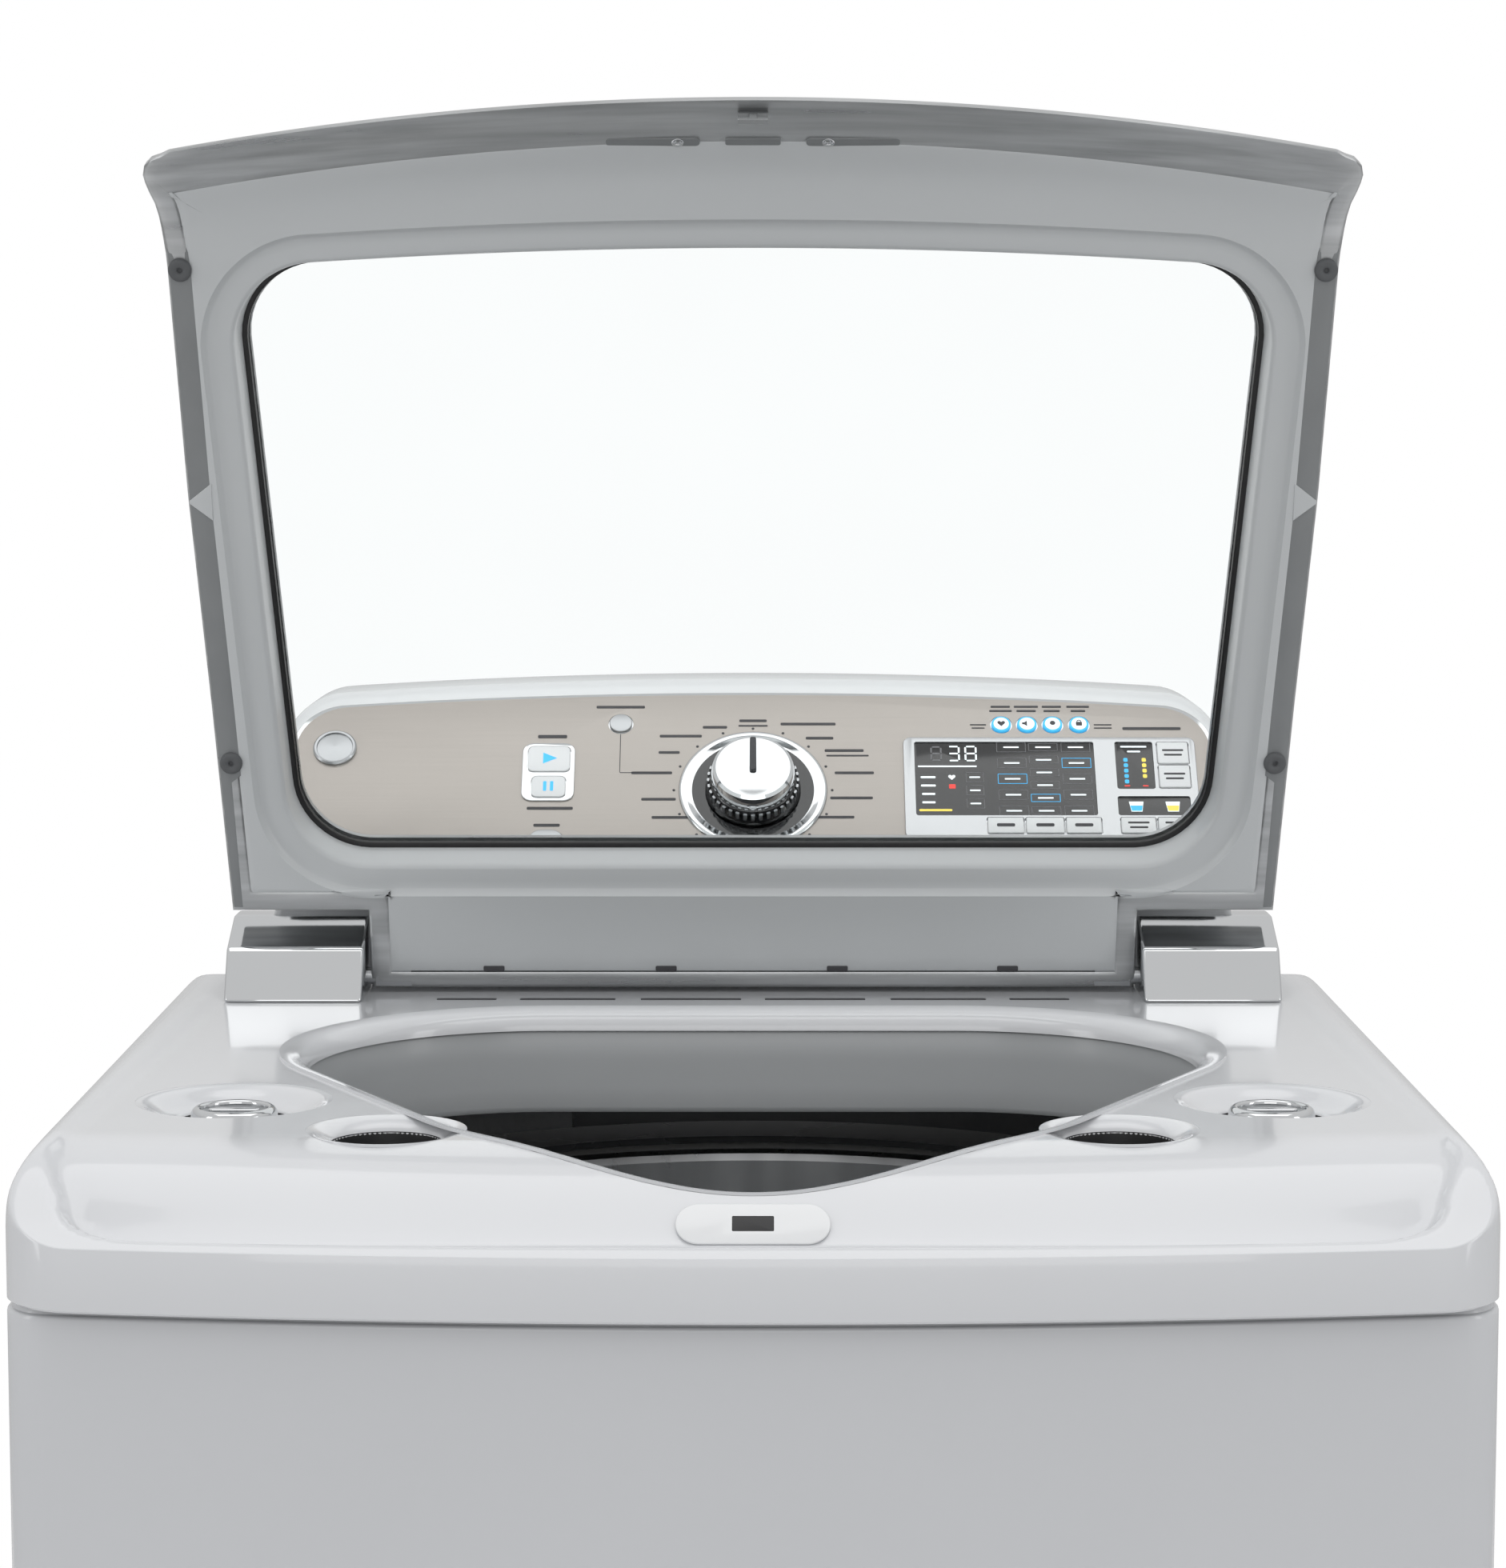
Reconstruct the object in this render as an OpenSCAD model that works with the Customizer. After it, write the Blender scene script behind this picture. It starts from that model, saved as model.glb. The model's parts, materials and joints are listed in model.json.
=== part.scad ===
// Top load washing machine, standing on its four feet with the lid open.
// Origin: centre of the footprint on the floor. +Z up, the front faces -Y.

/* [Cabinet] */
// Overall width across the side walls
body_w = 705; // [702:1:708]
// Height of the seam between cabinet and top cover
seam_z = 870; // [868:1:871]
// Wall of the cabinet sheet
sheet_t = 2; // [1.5:0.5:2.5]

/* [Top cover] */
// Height of the flat deck around the tub opening
deck_z = 940; // [939.5:0.5:940]
// Wall of the moulded cover
cover_t = 3; // [2.5:0.5:3.5]
// Radius of a large dispenser bowl at the deck
bowl_r = 44.5; // [43:0.5:46]
// Radius of a small dispenser bowl at the deck
small_bowl_r = 34; // [32:0.5:34]

/* [Lid] */
// How far the lid stands open, in degrees
lid_angle = 74; // [60:1:75]
// Height of the closed lid's top face
lid_top_z = 980; // [977:1:981]

/* [Console] */
// Half width of the console housing
console_hw = 292; // [288:1:296]
// Radius of the selector knob grip
knob_r = 25; // [22:0.5:26]
// Height of the selector knob above the face
knob_h = 24; // [20:1:28]

/* [Tub and basket] */
// Outer radius of the outer tub
tub_r = 286; // [282:1:288]
// Outer radius of the spin basket
basket_r = 258; // [254:1:260]
// Radius of the drive shaft
shaft_r = 12.5; // [12:0.5:13]
// Radial clearance of running fits
run_gap = 0.05; // [0.02:0.01:0.09]

/* [Hidden] */
$fn = 64;
hw = body_w / 2;
front_y = -375;
cab_front = front_y + 10;
cab_back = 358;
cab_z0 = 30;
flange_w = 22;
corner_r = 26;
cover_corner_r = 34;
bow_r = 2300;
hinge_y = 175;
hinge_z = 950;
pin_r = 5;
block_x0 = 229;
block_x1 = 310;
lid_gap = 3.5;
tub_y = -50;
tub_z0 = 190;
tub_z1 = 842;
tub_wall = 5;
spin_tube_r = 20;
stator_r = 110;
rotor_r = 125;
rod_x = 300;
rod_dy = 250;
rod_r = 4;
spring_r = 14;
spring_z0 = 222;
arm_z0 = 326;
arm_h = 12;
leg_x = 300;
leg_front_y = -285;
leg_back_y = 300;
big_cup = [262, -183];
small_cup = [178, -261];
neck_r = 17;
bowl_floor_z = 918;
hot_inlet = [-200, 820];
cold_inlet = [-140, 820];
inlet_r = 13.1;
drain_at = [220, 300];
cord_at = [220, 820];
face_top = [300, 1113];
face_tilt = 46;
face_t0 = 7;
face_t1 = 137;
face_hw = 280;
panel_t = 2;
trim_t = 1.5;
board_h = -26;
knob_at = [0, 83];
knob_shaft_r = 3;
lock_y = -351;
lock_z = 912;
lock_tilt = 45;
slot_x = 9.75;
slot_y0 = -354;
slot_y1 = -348;

// Shared outlines ---------------------------------------------------------

function arc(cx, cy, r, a0, a1, n) =
  [for (i = [0:n]) let (a = a0 + (a1 - a0) * i / n) [cx + r * cos(a), cy + r * sin(a)]];

// Plan of the machine: bowed front, round front corners, square back.
function plan(half, front, back, r, bow) =
  let (yb = front + bow, s = asin((half - r) / (bow - r)),
       yc = yb - sqrt(pow(bow - r, 2) - pow(half - r, 2)))
  concat([[half, back], [-half, back]],
         arc(r - half, yc, r, 180, 270 - s, 6),
         [for (i = [1:9]) let (a = 270 - s + 2 * s * i / 10) [bow * cos(a), yb + bow * sin(a)]],
         arc(half - r, yc, r, 270 + s, 360, 6));

function cabinet_plan(t) =
  plan(hw - t, cab_front + t, cab_back - t, max(corner_r - t, 5), bow_r - t);

function cover_plan(t) =
  plan(hw - t, front_y + t, cab_back - t / 4, max(cover_corner_r - t, 5), bow_r - t);

// Front to back lines of the middle deck and of its raised side rims, lowered by d.
function deck_line(d) = [[front_y - 5, 903 - d], [-369, 904 - d], [-363, 903.5 - d],
  [-358, 905 - d], [-340, 923 - d], [-325, 932 - d], [-310, 937.5 - d], [-295, deck_z - d],
  [238, deck_z - d], [262, 930 - d], [cab_back + 5, 912 - d]];

function rim_line(d) = [[front_y - 5, 903 - d], [-369, 906 - d], [-358, 911 - d],
  [-343, 927 - d], [-328, 937 - d], [-310, 942.5 - d], [-290, 945 - d],
  [225, 945 - d], [240, 941 - d], [264, 930.5 - d], [cab_back + 5, 912.5 - d]];

// Extrudes a front to back line, closed off below at z0, over the width x0 to x1.
module ridge_solid(line, z0, x0, x1) {
  n = len(line) - 1;
  translate([x0, 0, 0])
    rotate([90, 0, 90])
      linear_extrude(x1 - x0)
        polygon(concat(line, [[line[n][0], z0], [line[0][0], z0]]));
}

module mirror_x() {
  children();
  mirror([1, 0, 0])
    children();
}

// Opening over the tub: two side arcs and a front arc joined by tangents.
module opening(d) {
  side = [115, -28];
  front = [0, -155];
  side_r = 128;
  front_r = 170;
  span = norm(front - side);
  c = (front_r - side_r) / span;
  s = sqrt(1 - c * c);
  ux = (front[0] - side[0]) / span;
  uy = (front[1] - side[1]) / span;
  n = [-c * ux - s * uy, s * ux - c * uy];
  p = side + n * (side_r + d);
  q = front + n * (front_r + d);
  for (m = [-1, 1])
    translate([m * side[0], side[1]])
      circle(r = side_r + d);
  translate(front)
    circle(r = front_r + d);
  polygon([[-side[0], side[1] + side_r + d], [-p[0], p[1]], [-q[0], q[1]], q, p,
    [side[0], side[1] + side_r + d]]);
}

module box(x0, y0, z0, x1, y1, z1) {
  translate([x0, y0, z0])
    cube([x1 - x0, y1 - y0, z1 - z0]);
}

module tube(r_out, r_in, z0, z1) {
  translate([0, 0, z0])
    difference() {
      cylinder(h = z1 - z0, r = r_out);
      translate([0, 0, -1])
        cylinder(h = z1 - z0 + 2, r = r_in);
    }
}

module round_rect(x0, y0, x1, y1, r) {
  polygon(concat(arc(x1 - r, y1 - r, r, 0, 90, 6), arc(x0 + r, y1 - r, r, 90, 180, 6),
    arc(x0 + r, y0 + r, r, 180, 270, 6), arc(x1 - r, y0 + r, r, 270, 360, 6)));
}

// Cabinet -----------------------------------------------------------------

module sheet_ring(t0, t1, z0, z1) {
  translate([0, 0, z0])
    linear_extrude(z1 - z0)
      difference() {
        polygon(cabinet_plan(t0));
        polygon(cabinet_plan(t1));
      }
}

module cabinet_shell() {
  wall_top = seam_z - 3;
  back_in = cab_back - flange_w;
  color("whitesmoke")
    union() {
      difference() {
        sheet_ring(0, sheet_t, cab_z0, wall_top);
        box(sheet_t - hw, back_in, cab_z0 - 1, hw - sheet_t, cab_back + 1, wall_top + 1);
      }
      sheet_ring(0, flange_w, cab_z0, cab_z0 + 2);
      sheet_ring(1.5, flange_w, seam_z - 4, seam_z);
    }
}

module rear_holes() {
  for (p = [hot_inlet, cold_inlet])
    translate([p[0], cab_back + 5, p[1]])
      rotate([90, 0, 0])
        cylinder(h = 20, r = inlet_r + 0.4);
  translate([drain_at[0], cab_back + 5, drain_at[1]])
    rotate([90, 0, 0])
      cylinder(h = 20, r = 15);
  translate([cord_at[0], cab_back + 5, cord_at[1]])
    rotate([90, 0, 0])
      cylinder(h = 20, r = 9.5);
}

module rear_panel() {
  top = seam_z - 4;
  slot_w = 60;
  color("silver")
    difference() {
      union() {
        box(sheet_t - hw, 354, cab_z0 + 2, hw - sheet_t, 356, top);
        for (x = [-250, -40, 150])
          box(x, 356, 420, x + 40, 358, 760);
      }
      rear_holes();
      for (z = [110:14:166])
        box(-slot_w, 350, z, slot_w, 360, z + 5);
    }
}

module base_frame() {
  color("dimgray")
    difference() {
      union() {
        sheet_ring(sheet_t + 0.5, 90, cab_z0 + 2, cab_z0 + 6);
        sheet_ring(84, 90, cab_z0 + 2, cab_z0 + 24);
        for (x = [-leg_x, leg_x], y = [leg_front_y, leg_back_y])
          translate([x, y, cab_z0 + 2])
            cylinder(h = 28, r = 14);
      }
      for (x = [-leg_x, leg_x], y = [leg_front_y, leg_back_y])
        translate([x, y, 0])
          cylinder(h = 100, r = pin_r + run_gap);
      box(-hw, 354, 0, hw, 400, 100);
    }
}

module leg(x, y) {
  nut_r = 11;
  color("black")
    translate([x, y, 0])
      union() {
        cylinder(h = 6, r = 22);
        translate([0, 0, 6])
          cylinder(h = 8, r1 = 22, r2 = 15);
        translate([0, 0, 14])
          cylinder(h = 8, r = nut_r, $fn = 6);
        translate([0, 0, 22])
          cylinder(h = 44, r = pin_r);
      }
}

module leg_front_left() {
  leg(-leg_x, leg_front_y);
}

module leg_front_right() {
  leg(leg_x, leg_front_y);
}

module leg_rear_left() {
  leg(-leg_x, leg_back_y);
}

module leg_rear_right() {
  leg(leg_x, leg_back_y);
}

module inlet_valve() {
  color("white")
    difference() {
      union() {
        box(hot_inlet[0] - 25, 322, 800, cold_inlet[0] + 25, 354, 842);
        for (p = [hot_inlet, cold_inlet]) {
          translate([p[0], 375, p[1]])
            rotate([90, 0, 0])
              cylinder(h = 30, r = inlet_r);
          translate([p[0], 361, p[1]])
            rotate([90, 0, 0])
              cylinder(h = 2.5, r = 18);
          translate([p[0], 330, 842])
            cylinder(h = 14, r = 9);
        }
      }
      for (p = [hot_inlet, cold_inlet]) {
        translate([p[0], 376, p[1]])
          rotate([90, 0, 0])
            cylinder(h = 40, r = 9);
        translate([p[0], 330, 825])
          cylinder(h = 40, r = 5);
      }
    }
}

module rear_fittings() {
  color("darkslategray")
    union() {
      translate([drain_at[0], 375, drain_at[1]])
        rotate([90, 0, 0])
          difference() {
            union() {
              cylinder(h = 45, r = 14.5);
              translate([0, 0, 16])
                cylinder(h = 3, r = 24);
            }
            translate([0, 0, -1])
              cylinder(h = 50, r = 11);
          }
      translate([cord_at[0], 370, cord_at[1]])
        rotate([90, 0, 0])
          difference() {
            union() {
              cylinder(h = 24, r = 9);
              translate([0, 0, 11])
                cylinder(h = 3, r = 14);
            }
            translate([0, 0, -1])
              cylinder(h = 30, r = 4.5);
          }
    }
}

// Top cover ---------------------------------------------------------------

// Solid slices of the cover's plan, joined into a rounded shoulder.
module shoulder() {
  steps = [[0, seam_z], [0, 905], [2, 922], [7, 934], [15, 941], [26, 946]];
  for (i = [0:len(steps) - 2])
    hull()
      for (s = [steps[i], steps[i + 1]])
        translate([0, 0, s[1] - 0.01])
          linear_extrude(0.02)
            polygon(cover_plan(s[0]));
}

// Plan of one raised side rim; g widens it inward.
module rim_plan(g) {
  polygon([[313 - g, 360], [318 - g, 205], [333 - g, -179], [336 - g, -300], [337 - g, -380],
    [360, -380], [360, 360]]);
}

module deck_body(d, z0) {
  union() {
    ridge_solid(deck_line(d), z0, -hw - 5, hw + 5);
    mirror_x()
      intersection() {
        ridge_solid(rim_line(d), z0, 290, hw + 5);
        translate([0, 0, z0])
          linear_extrude(100)
            rim_plan(d);
      }
  }
}

module bowl(p, r, hole, g) {
  translate([p[0], p[1], bowl_floor_z - g])
    cylinder(h = deck_z - bowl_floor_z + g, r1 = hole + g, r2 = r + g);
}

module top_cover() {
  ring_in = cover_t + 0.5;
  color("whitesmoke")
    difference() {
      union() {
        difference() {
          intersection() {
            shoulder();
            deck_body(0, seam_z);
          }
          intersection() {
            union() {
              translate([0, 0, seam_z - 1])
                linear_extrude(40)
                  polygon(cover_plan(ring_in));
              translate([0, 0, seam_z])
                linear_extrude(52)
                  polygon(cover_plan(ring_in + 5));
              translate([0, 0, seam_z])
                linear_extrude(80)
                  polygon(cover_plan(28));
            }
            deck_body(cover_t, seam_z - 5);
          }
        }
        mirror_x() {
          bowl(big_cup, bowl_r, 30, 2);
          bowl(small_cup, small_bowl_r, 21, 2);
        }
      }
      translate([0, 0, seam_z - 2])
        linear_extrude(90)
          opening(0);
      mirror_x() {
        difference() {
          bowl(big_cup, bowl_r + 0.1, 30, 0.01);
          translate([big_cup[0], big_cup[1], bowl_floor_z - 4])
            cylinder(h = 4, r = 40);
        }
        bowl(small_cup, small_bowl_r + 0.1, 21, 0.01);
        translate([big_cup[0], big_cup[1], bowl_floor_z - 10])
          cylinder(h = 20, r = neck_r + 0.1);
        translate([small_cup[0], small_cup[1], bowl_floor_z - 10])
          cylinder(h = 20, r = 20);
      }
      strike_slot(880);
    }
}

module opening_collar() {
  color("gray")
    intersection() {
      translate([0, 0, 881])
        linear_extrude(70)
          difference() {
            opening(3);
            opening(0);
          }
      ridge_solid(deck_line(cover_t), 870, -300, 300);
    }
}

module hinge_brackets() {
  color("dimgray")
    mirror_x()
      difference() {
        union() {
          box(236, 160, deck_z, 250, 190, 956);
          translate([236, hinge_y, hinge_z])
            rotate([0, 90, 0])
              cylinder(h = 14, r = 14);
          box(236, 150, deck_z, 300, 200, deck_z + 4);
        }
        box(230, 150, 920, 310, 200, deck_z);
        translate([230, hinge_y, hinge_z])
          rotate([0, 90, 0])
            cylinder(h = 30, r = pin_r + run_gap);
      }
}

module block_profile(t) {
  polygon([[132 + 1.6 * t, deck_z - 1], [150 + t, 970 - t], [185, 985 - t], [205, 985 - t],
    [211 - t, 979 - t], [211 - t, deck_z - 1]]);
}

module hinge_covers() {
  t = 2.5;
  color("gainsboro")
    mirror_x()
      difference() {
        translate([block_x0, 0, 0])
          rotate([90, 0, 90])
            linear_extrude(block_x1 - block_x0)
              block_profile(0);
        translate([block_x0 + t, 0, 0])
          rotate([90, 0, 90])
            linear_extrude(block_x1 - block_x0 - 2 * t)
              block_profile(t);
        box(220, 120, deck_z - 2, 320, 220, deck_z);
        translate([block_x0 - 1, hinge_y, hinge_z])
          rotate([0, 90, 0])
            cylinder(h = t + 2, r = pin_r + 1);
      }
}

// Places children on the lock's slope: +Z points out of the slope, +Y up along it.
module on_lock() {
  translate([0, lock_y, lock_z])
    rotate([lock_tilt, 0, 0])
      children();
}

// The lid's strike comes down through this slot in the plate, skin and housing.
module strike_slot(z0) {
  box(-slot_x, slot_y0, z0, slot_x, slot_y1, deck_z);
}

module lock_plate() {
  color("dimgray")
    difference() {
      on_lock()
        linear_extrude(2)
          round_rect(-35, -9, 35, 9, 8.9);
      strike_slot(880);
    }
}

module lock_housing() {
  color("black")
    difference() {
      intersection() {
        box(-26, -357, 884, 26, -343, 930);
        ridge_solid(deck_line(cover_t), 880, -30, 30);
      }
      strike_slot(888);
      box(-22.5, -353, 898, 0, -347, 904.8);
    }
}

module lock_bolt() {
  color("orange")
    box(-22, -352.6, 898.4, -10.5, -347.4, 904.4);
}

module dispenser_tanks() {
  wall = 2.5;
  color("lightgray")
    mirror_x()
      difference() {
        union() {
          tank_body(0);
          translate([big_cup[0], big_cup[1], 900])
            cylinder(h = 31, r = neck_r);
          box(318, -200, seam_z, 336, -170, seam_z + 4);
        }
        tank_body(wall);
        translate([big_cup[0], big_cup[1], 895])
          cylinder(h = 40, r = neck_r - 2.5);
      }
}

module tank_body(t) {
  difference() {
    intersection() {
      union() {
        box(200 + t, -275 + t, 700 + t, 328 - t, -110 - t, 880 - t);
        box(234 + t, -225 + t, 862 + t, 328 - t, -135 - t, 905 - t);
      }
      translate([0, 0, 600])
        linear_extrude(400)
          polygon(cabinet_plan(26 + t));
    }
    translate([0, tub_y, 690])
      cylinder(h = 172 + t, r = 297 + t);
    box(190, -280, 855 - t, 234 + t, -100, 885);
  }
}

module dispenser_cups() {
  color("black")
    mirror_x()
      translate([small_cup[0], small_cup[1], 0])
        union() {
          difference() {
            union() {
              translate([0, 0, 880])
                cylinder(h = bowl_floor_z - 882, r1 = 18, r2 = 22.5);
              translate([0, 0, bowl_floor_z - 4])
                cylinder(h = 2, r = 22.8);
            }
            translate([0, 0, 882])
              cylinder(h = 40, r1 = 16, r2 = 20);
          }
        }
}

module cup_cap(m) {
  color("silver")
    translate([m * big_cup[0], big_cup[1], 0])
      difference() {
        union() {
          translate([0, 0, bowl_floor_z + 0.5])
            cylinder(h = 16, r = 22);
          translate([0, 0, bowl_floor_z + 16.5])
            cylinder(h = 2.5, r1 = 22, r2 = 20);
        }
        translate([0, 0, bowl_floor_z])
          cylinder(h = 15, r = neck_r + 0.4);
        translate([0, 0, bowl_floor_z + 17])
          cylinder(h = 3, r1 = 15, r2 = 18);
      }
}

module detergent_cap() {
  cup_cap(-1);
}

module softener_cap() {
  cup_cap(1);
}

// Console -----------------------------------------------------------------

// Places children on the console face: x across, t down the face, +Z outward.
module on_face(x, t, h) {
  translate([0, face_top[0], face_top[1]])
    rotate([face_tilt, 0, 0])
      translate([x, -t, h])
        children();
}

module console_profile(t) {
  c = cos(face_tilt);
  s = sin(face_tilt);
  top = [face_top[0] + t * 0.4, face_top[1] - t];
  low = [face_top[0] - 140 * c + t, face_top[1] - 140 * s - t * 0.4];
  polygon([top, low, [205 + t, 1006], [212 + t, 998], [212 + t, deck_z], [238, deck_z],
    [262, 930], [cab_back, 912], [362 - t, 912], [362 - t, 1096], [356 - t, 1110 - t],
    [345, 1117 - t], [312, 1118 - t]]);
}

module console_block(t) {
  translate([t - console_hw, 0, 0])
    rotate([90, 0, 90])
      linear_extrude(2 * console_hw - 2 * t)
        console_profile(t);
}

module console_housing() {
  wall = 3;
  color("whitesmoke")
    difference() {
      intersection() {
        console_block(0);
        translate([0, 0, 900])
          linear_extrude(300)
            round_rect(-console_hw, 190, console_hw, 380, 16);
      }
      intersection() {
        union() {
          console_block(wall);
          box(wall - console_hw, 230, 900, console_hw - wall, 340, 960);
        }
        translate([0, 0, 899])
          linear_extrude(302)
            round_rect(wall - console_hw, 190, console_hw - wall, 362 - wall, 13);
      }
      on_face(0, 0, -panel_t)
        linear_extrude(10)
          round_rect(-face_hw, -face_t1, face_hw, -face_t0, 14);
      on_face(0, 0, -12)
        linear_extrude(20)
          round_rect(8 - face_hw, 2.5 - face_t1, face_hw - 8, -face_t0 - 6, 10);
    }
}

// Openings and pushers share one list: [x0, t0, x1, t1, corner radius].
start_box = [-137.8, 49.9, -112.2, 69.4, 4];
pause_box = [-135.1, 73.2, -114.5, 89.3, 4];
power_box = [-135.7, 114.5, -114.4, 131, 8];
steam_box = [-88.6, 23.9, -74.6, 37.9, 6.9];
settings_box = [147.3, 25.6, 159.3, 37.6, 5.9];
signal_box = [163.2, 25.6, 175.2, 37.6, 5.9];
light_box = [179, 25.6, 191, 37.6, 5.9];
child_lock_box = [195.3, 25.6, 207.3, 37.6, 5.9];
soil_box = [142.2, 105.5, 163.9, 117.4, 1];
temp_box = [165.5, 105.5, 188.2, 117.4, 1];
spin_box = [189.8, 105.5, 210.9, 117.4, 1];
detergent_tank_box = [248.2, 47, 267, 63.6, 1];
softener_tank_box = [248.2, 65.2, 267, 82.3, 1];
detergent_cup_box = [223, 105.5, 243.9, 117.4, 1];
softener_cup_box = [245.5, 105.5, 266.6, 117.4, 1];
low_boxes = [start_box, pause_box, power_box, steam_box, settings_box, signal_box, light_box,
  child_lock_box];
trim_boxes = [soil_box, temp_box, spin_box, detergent_tank_box, softener_tank_box,
  detergent_cup_box, softener_cup_box];

module box_plan(b, g) {
  round_rect(b[0] - g, -b[3] - g, b[2] + g, -b[1] + g, b[4] + g);
}

module box_holes(list) {
  for (b = list)
    translate([0, 0, -20])
      linear_extrude(40)
        box_plan(b, 0.9);
}

module push_button(b, top) {
  stem_h = 2.4;
  lip = 0.6;
  on_face(0, 0, 0)
    union() {
      translate([0, 0, -panel_t - stem_h])
        linear_extrude(top + panel_t + stem_h)
          box_plan(b, 0);
      translate([0, 0, -panel_t - stem_h])
        linear_extrude(stem_h - 0.4)
          round_rect(b[0] + 0.3, -b[3] - lip, b[2] - 0.3, -b[1] + lip, 1);
    }
}

module console_fascia() {
  color("silver")
    on_face(0, 0, -panel_t)
      difference() {
        union() {
          linear_extrude(panel_t)
            round_rect(-face_hw, -face_t1, face_hw, -face_t0, 14);
          translate([-125.2, -69.3, panel_t])
            linear_extrude(1.2)
              round_rect(-16.2, -22.5, 16.2, 22.5, 7);
        }
        box_holes(low_boxes);
        box_holes(trim_boxes);
        translate([knob_at[0], -knob_at[1], -1])
          cylinder(h = 10, r = 7);
      }
}

module window_plans(g) {
  round_rect(99 - g, -103.5 - g, 209.3 + g, -46.2 + g, 2);
  round_rect(222.2 - g, -83.1 - g, 245.5 + g, -46.2 + g, 2);
  round_rect(221.8 - g, -103.5 - g, 266.1 + g, -88.7 + g, 2);
}

module display_trim() {
  color("dimgray")
    on_face(0, 0, 0)
      difference() {
        linear_extrude(trim_t)
          round_rect(92.2, -121.2, 271.6, -42.4, 5);
        translate([0, 0, -1])
          linear_extrude(10)
            window_plans(0);
        box_holes(trim_boxes);
      }
}

module display_windows() {
  color("black")
    on_face(0, 0, 0)
      linear_extrude(trim_t - 0.3)
        window_plans(0);
}

module knob_bezel() {
  color("silver")
    on_face(knob_at[0], knob_at[1], 0)
      union() {
        difference() {
          union() {
            cylinder(h = 1, r = 45);
            translate([0, 0, 1])
              cylinder(h = 1.5, r1 = 45, r2 = 42);
          }
          translate([0, 0, -1])
            cylinder(h = 6, r = 7);
          translate([0, 0, 1.5])
            cylinder(h = 6, r = 36);
          translate([0, -42, -1])
            cylinder(h = 6, r = 8.5);
        }
        translate([0, -42, 0])
          cylinder(h = 3, r1 = 8, r2 = 5);
      }
}

module selector_knob() {
  skirt_z = 2.2;
  color("silver")
    on_face(knob_at[0], knob_at[1], 0)
      union() {
        translate([0, 0, board_h + 4])
          cylinder(h = skirt_z - board_h - 3, r = knob_shaft_r, $fn = 32);
        translate([0, 0, skirt_z])
          cylinder(h = 3, r1 = knob_r + 4, r2 = knob_r + 1);
        translate([0, 0, skirt_z + 3])
          cylinder(h = knob_h - skirt_z - 5, r1 = knob_r, r2 = knob_r - 1);
        translate([0, 0, knob_h - 2])
          cylinder(h = 2, r1 = knob_r - 1, r2 = knob_r - 3);
      }
}

module control_board() {
  color("darkgreen")
    on_face(0, 0, 0)
      difference() {
        union() {
          translate([-160, -120, board_h])
            cube([420, 95, 2]);
          for (p = [[-155, 30], [-155, 112], [-60, 112], [60, 30], [85, 112], [235, 96]])
            translate([p[0], -p[1], board_h + 1])
              cylinder(h = -board_h - 1 - panel_t, r = 3, $fn = 24);
          translate([knob_at[0], -knob_at[1], board_h])
            cylinder(h = 16, r = 7);
        }
        translate([knob_at[0], -knob_at[1], board_h - 5])
          cylinder(h = 30, r = knob_shaft_r + run_gap, $fn = 32);
      }
}

module start_button() {
  color("lightblue")
    push_button(start_box, 2.8);
}

module pause_button() {
  color("lightblue")
    push_button(pause_box, 2.8);
}

module power_button() {
  color("gainsboro")
    push_button(power_box, 2);
}

module steam_button() {
  color("gainsboro")
    push_button(steam_box, 2);
}

module settings_button() {
  color("lightblue")
    push_button(settings_box, 2);
}

module signal_button() {
  color("lightblue")
    push_button(signal_box, 2);
}

module light_button() {
  color("lightblue")
    push_button(light_box, 2);
}

module child_lock_button() {
  color("lightblue")
    push_button(child_lock_box, 2);
}

module soil_button() {
  color("dimgray")
    push_button(soil_box, trim_t + 1.7);
}

module temp_button() {
  color("dimgray")
    push_button(temp_box, trim_t + 1.7);
}

module spin_button() {
  color("dimgray")
    push_button(spin_box, trim_t + 1.7);
}

module detergent_tank_button() {
  color("dimgray")
    push_button(detergent_tank_box, trim_t + 1.7);
}

module softener_tank_button() {
  color("dimgray")
    push_button(softener_tank_box, trim_t + 1.7);
}

module detergent_cup_button() {
  color("dimgray")
    push_button(detergent_cup_box, trim_t + 1.7);
}

module softener_cup_button() {
  color("dimgray")
    push_button(softener_cup_box, trim_t + 1.7);
}

// Lid, drawn closed and then swung open -------------------------------------

module swing() {
  translate([0, hinge_y, hinge_z])
    rotate([-lid_angle, 0, 0])
      translate([0, -hinge_y, -hinge_z])
        children();
}

function lid_half() = [[227, 183], [227, 131], [307, 131], [313, 3], [320, -125], [324.5, -262],
  [328, -300]];

// Plan of the lid; g grows it outward.
function lid_plan(g) =
  let (h = lid_half(), r = 22, cy = -315, bow = 1900,
       front = [for (i = [1:11]) let (x = 300 - 50 * i) [x, -358 + (x * x) / 2 / bow]])
  concat([for (p = h) [p[0] + g, p[1] + (p[1] > 100 ? g : 0)]],
         [[330 + g, cy], [328 + g, cy - 11 - g / 2], [320 + g, -332 - g]],
         [for (p = front) [p[0], p[1] - g]],
         [[-320 - g, -332 - g], [-328 - g, cy - 11 - g / 2], [-330 - g, cy]],
         [for (i = [len(h) - 1:-1:0]) [-h[i][0] - g, h[i][1] + (h[i][1] > 100 ? g : 0)]]);

// Side profile of the lid between its underside, raised by a, and its top, lowered by b.
function lid_under(a) = [[184, 949 + a], [177, deck_z + lid_gap + a], [-280, deck_z + lid_gap + a],
  [-310, 941 + a], [-325, 936 + a], [-340, 927.5 + a], [-352, 915 + a], [-359, 908 + a]];

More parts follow.
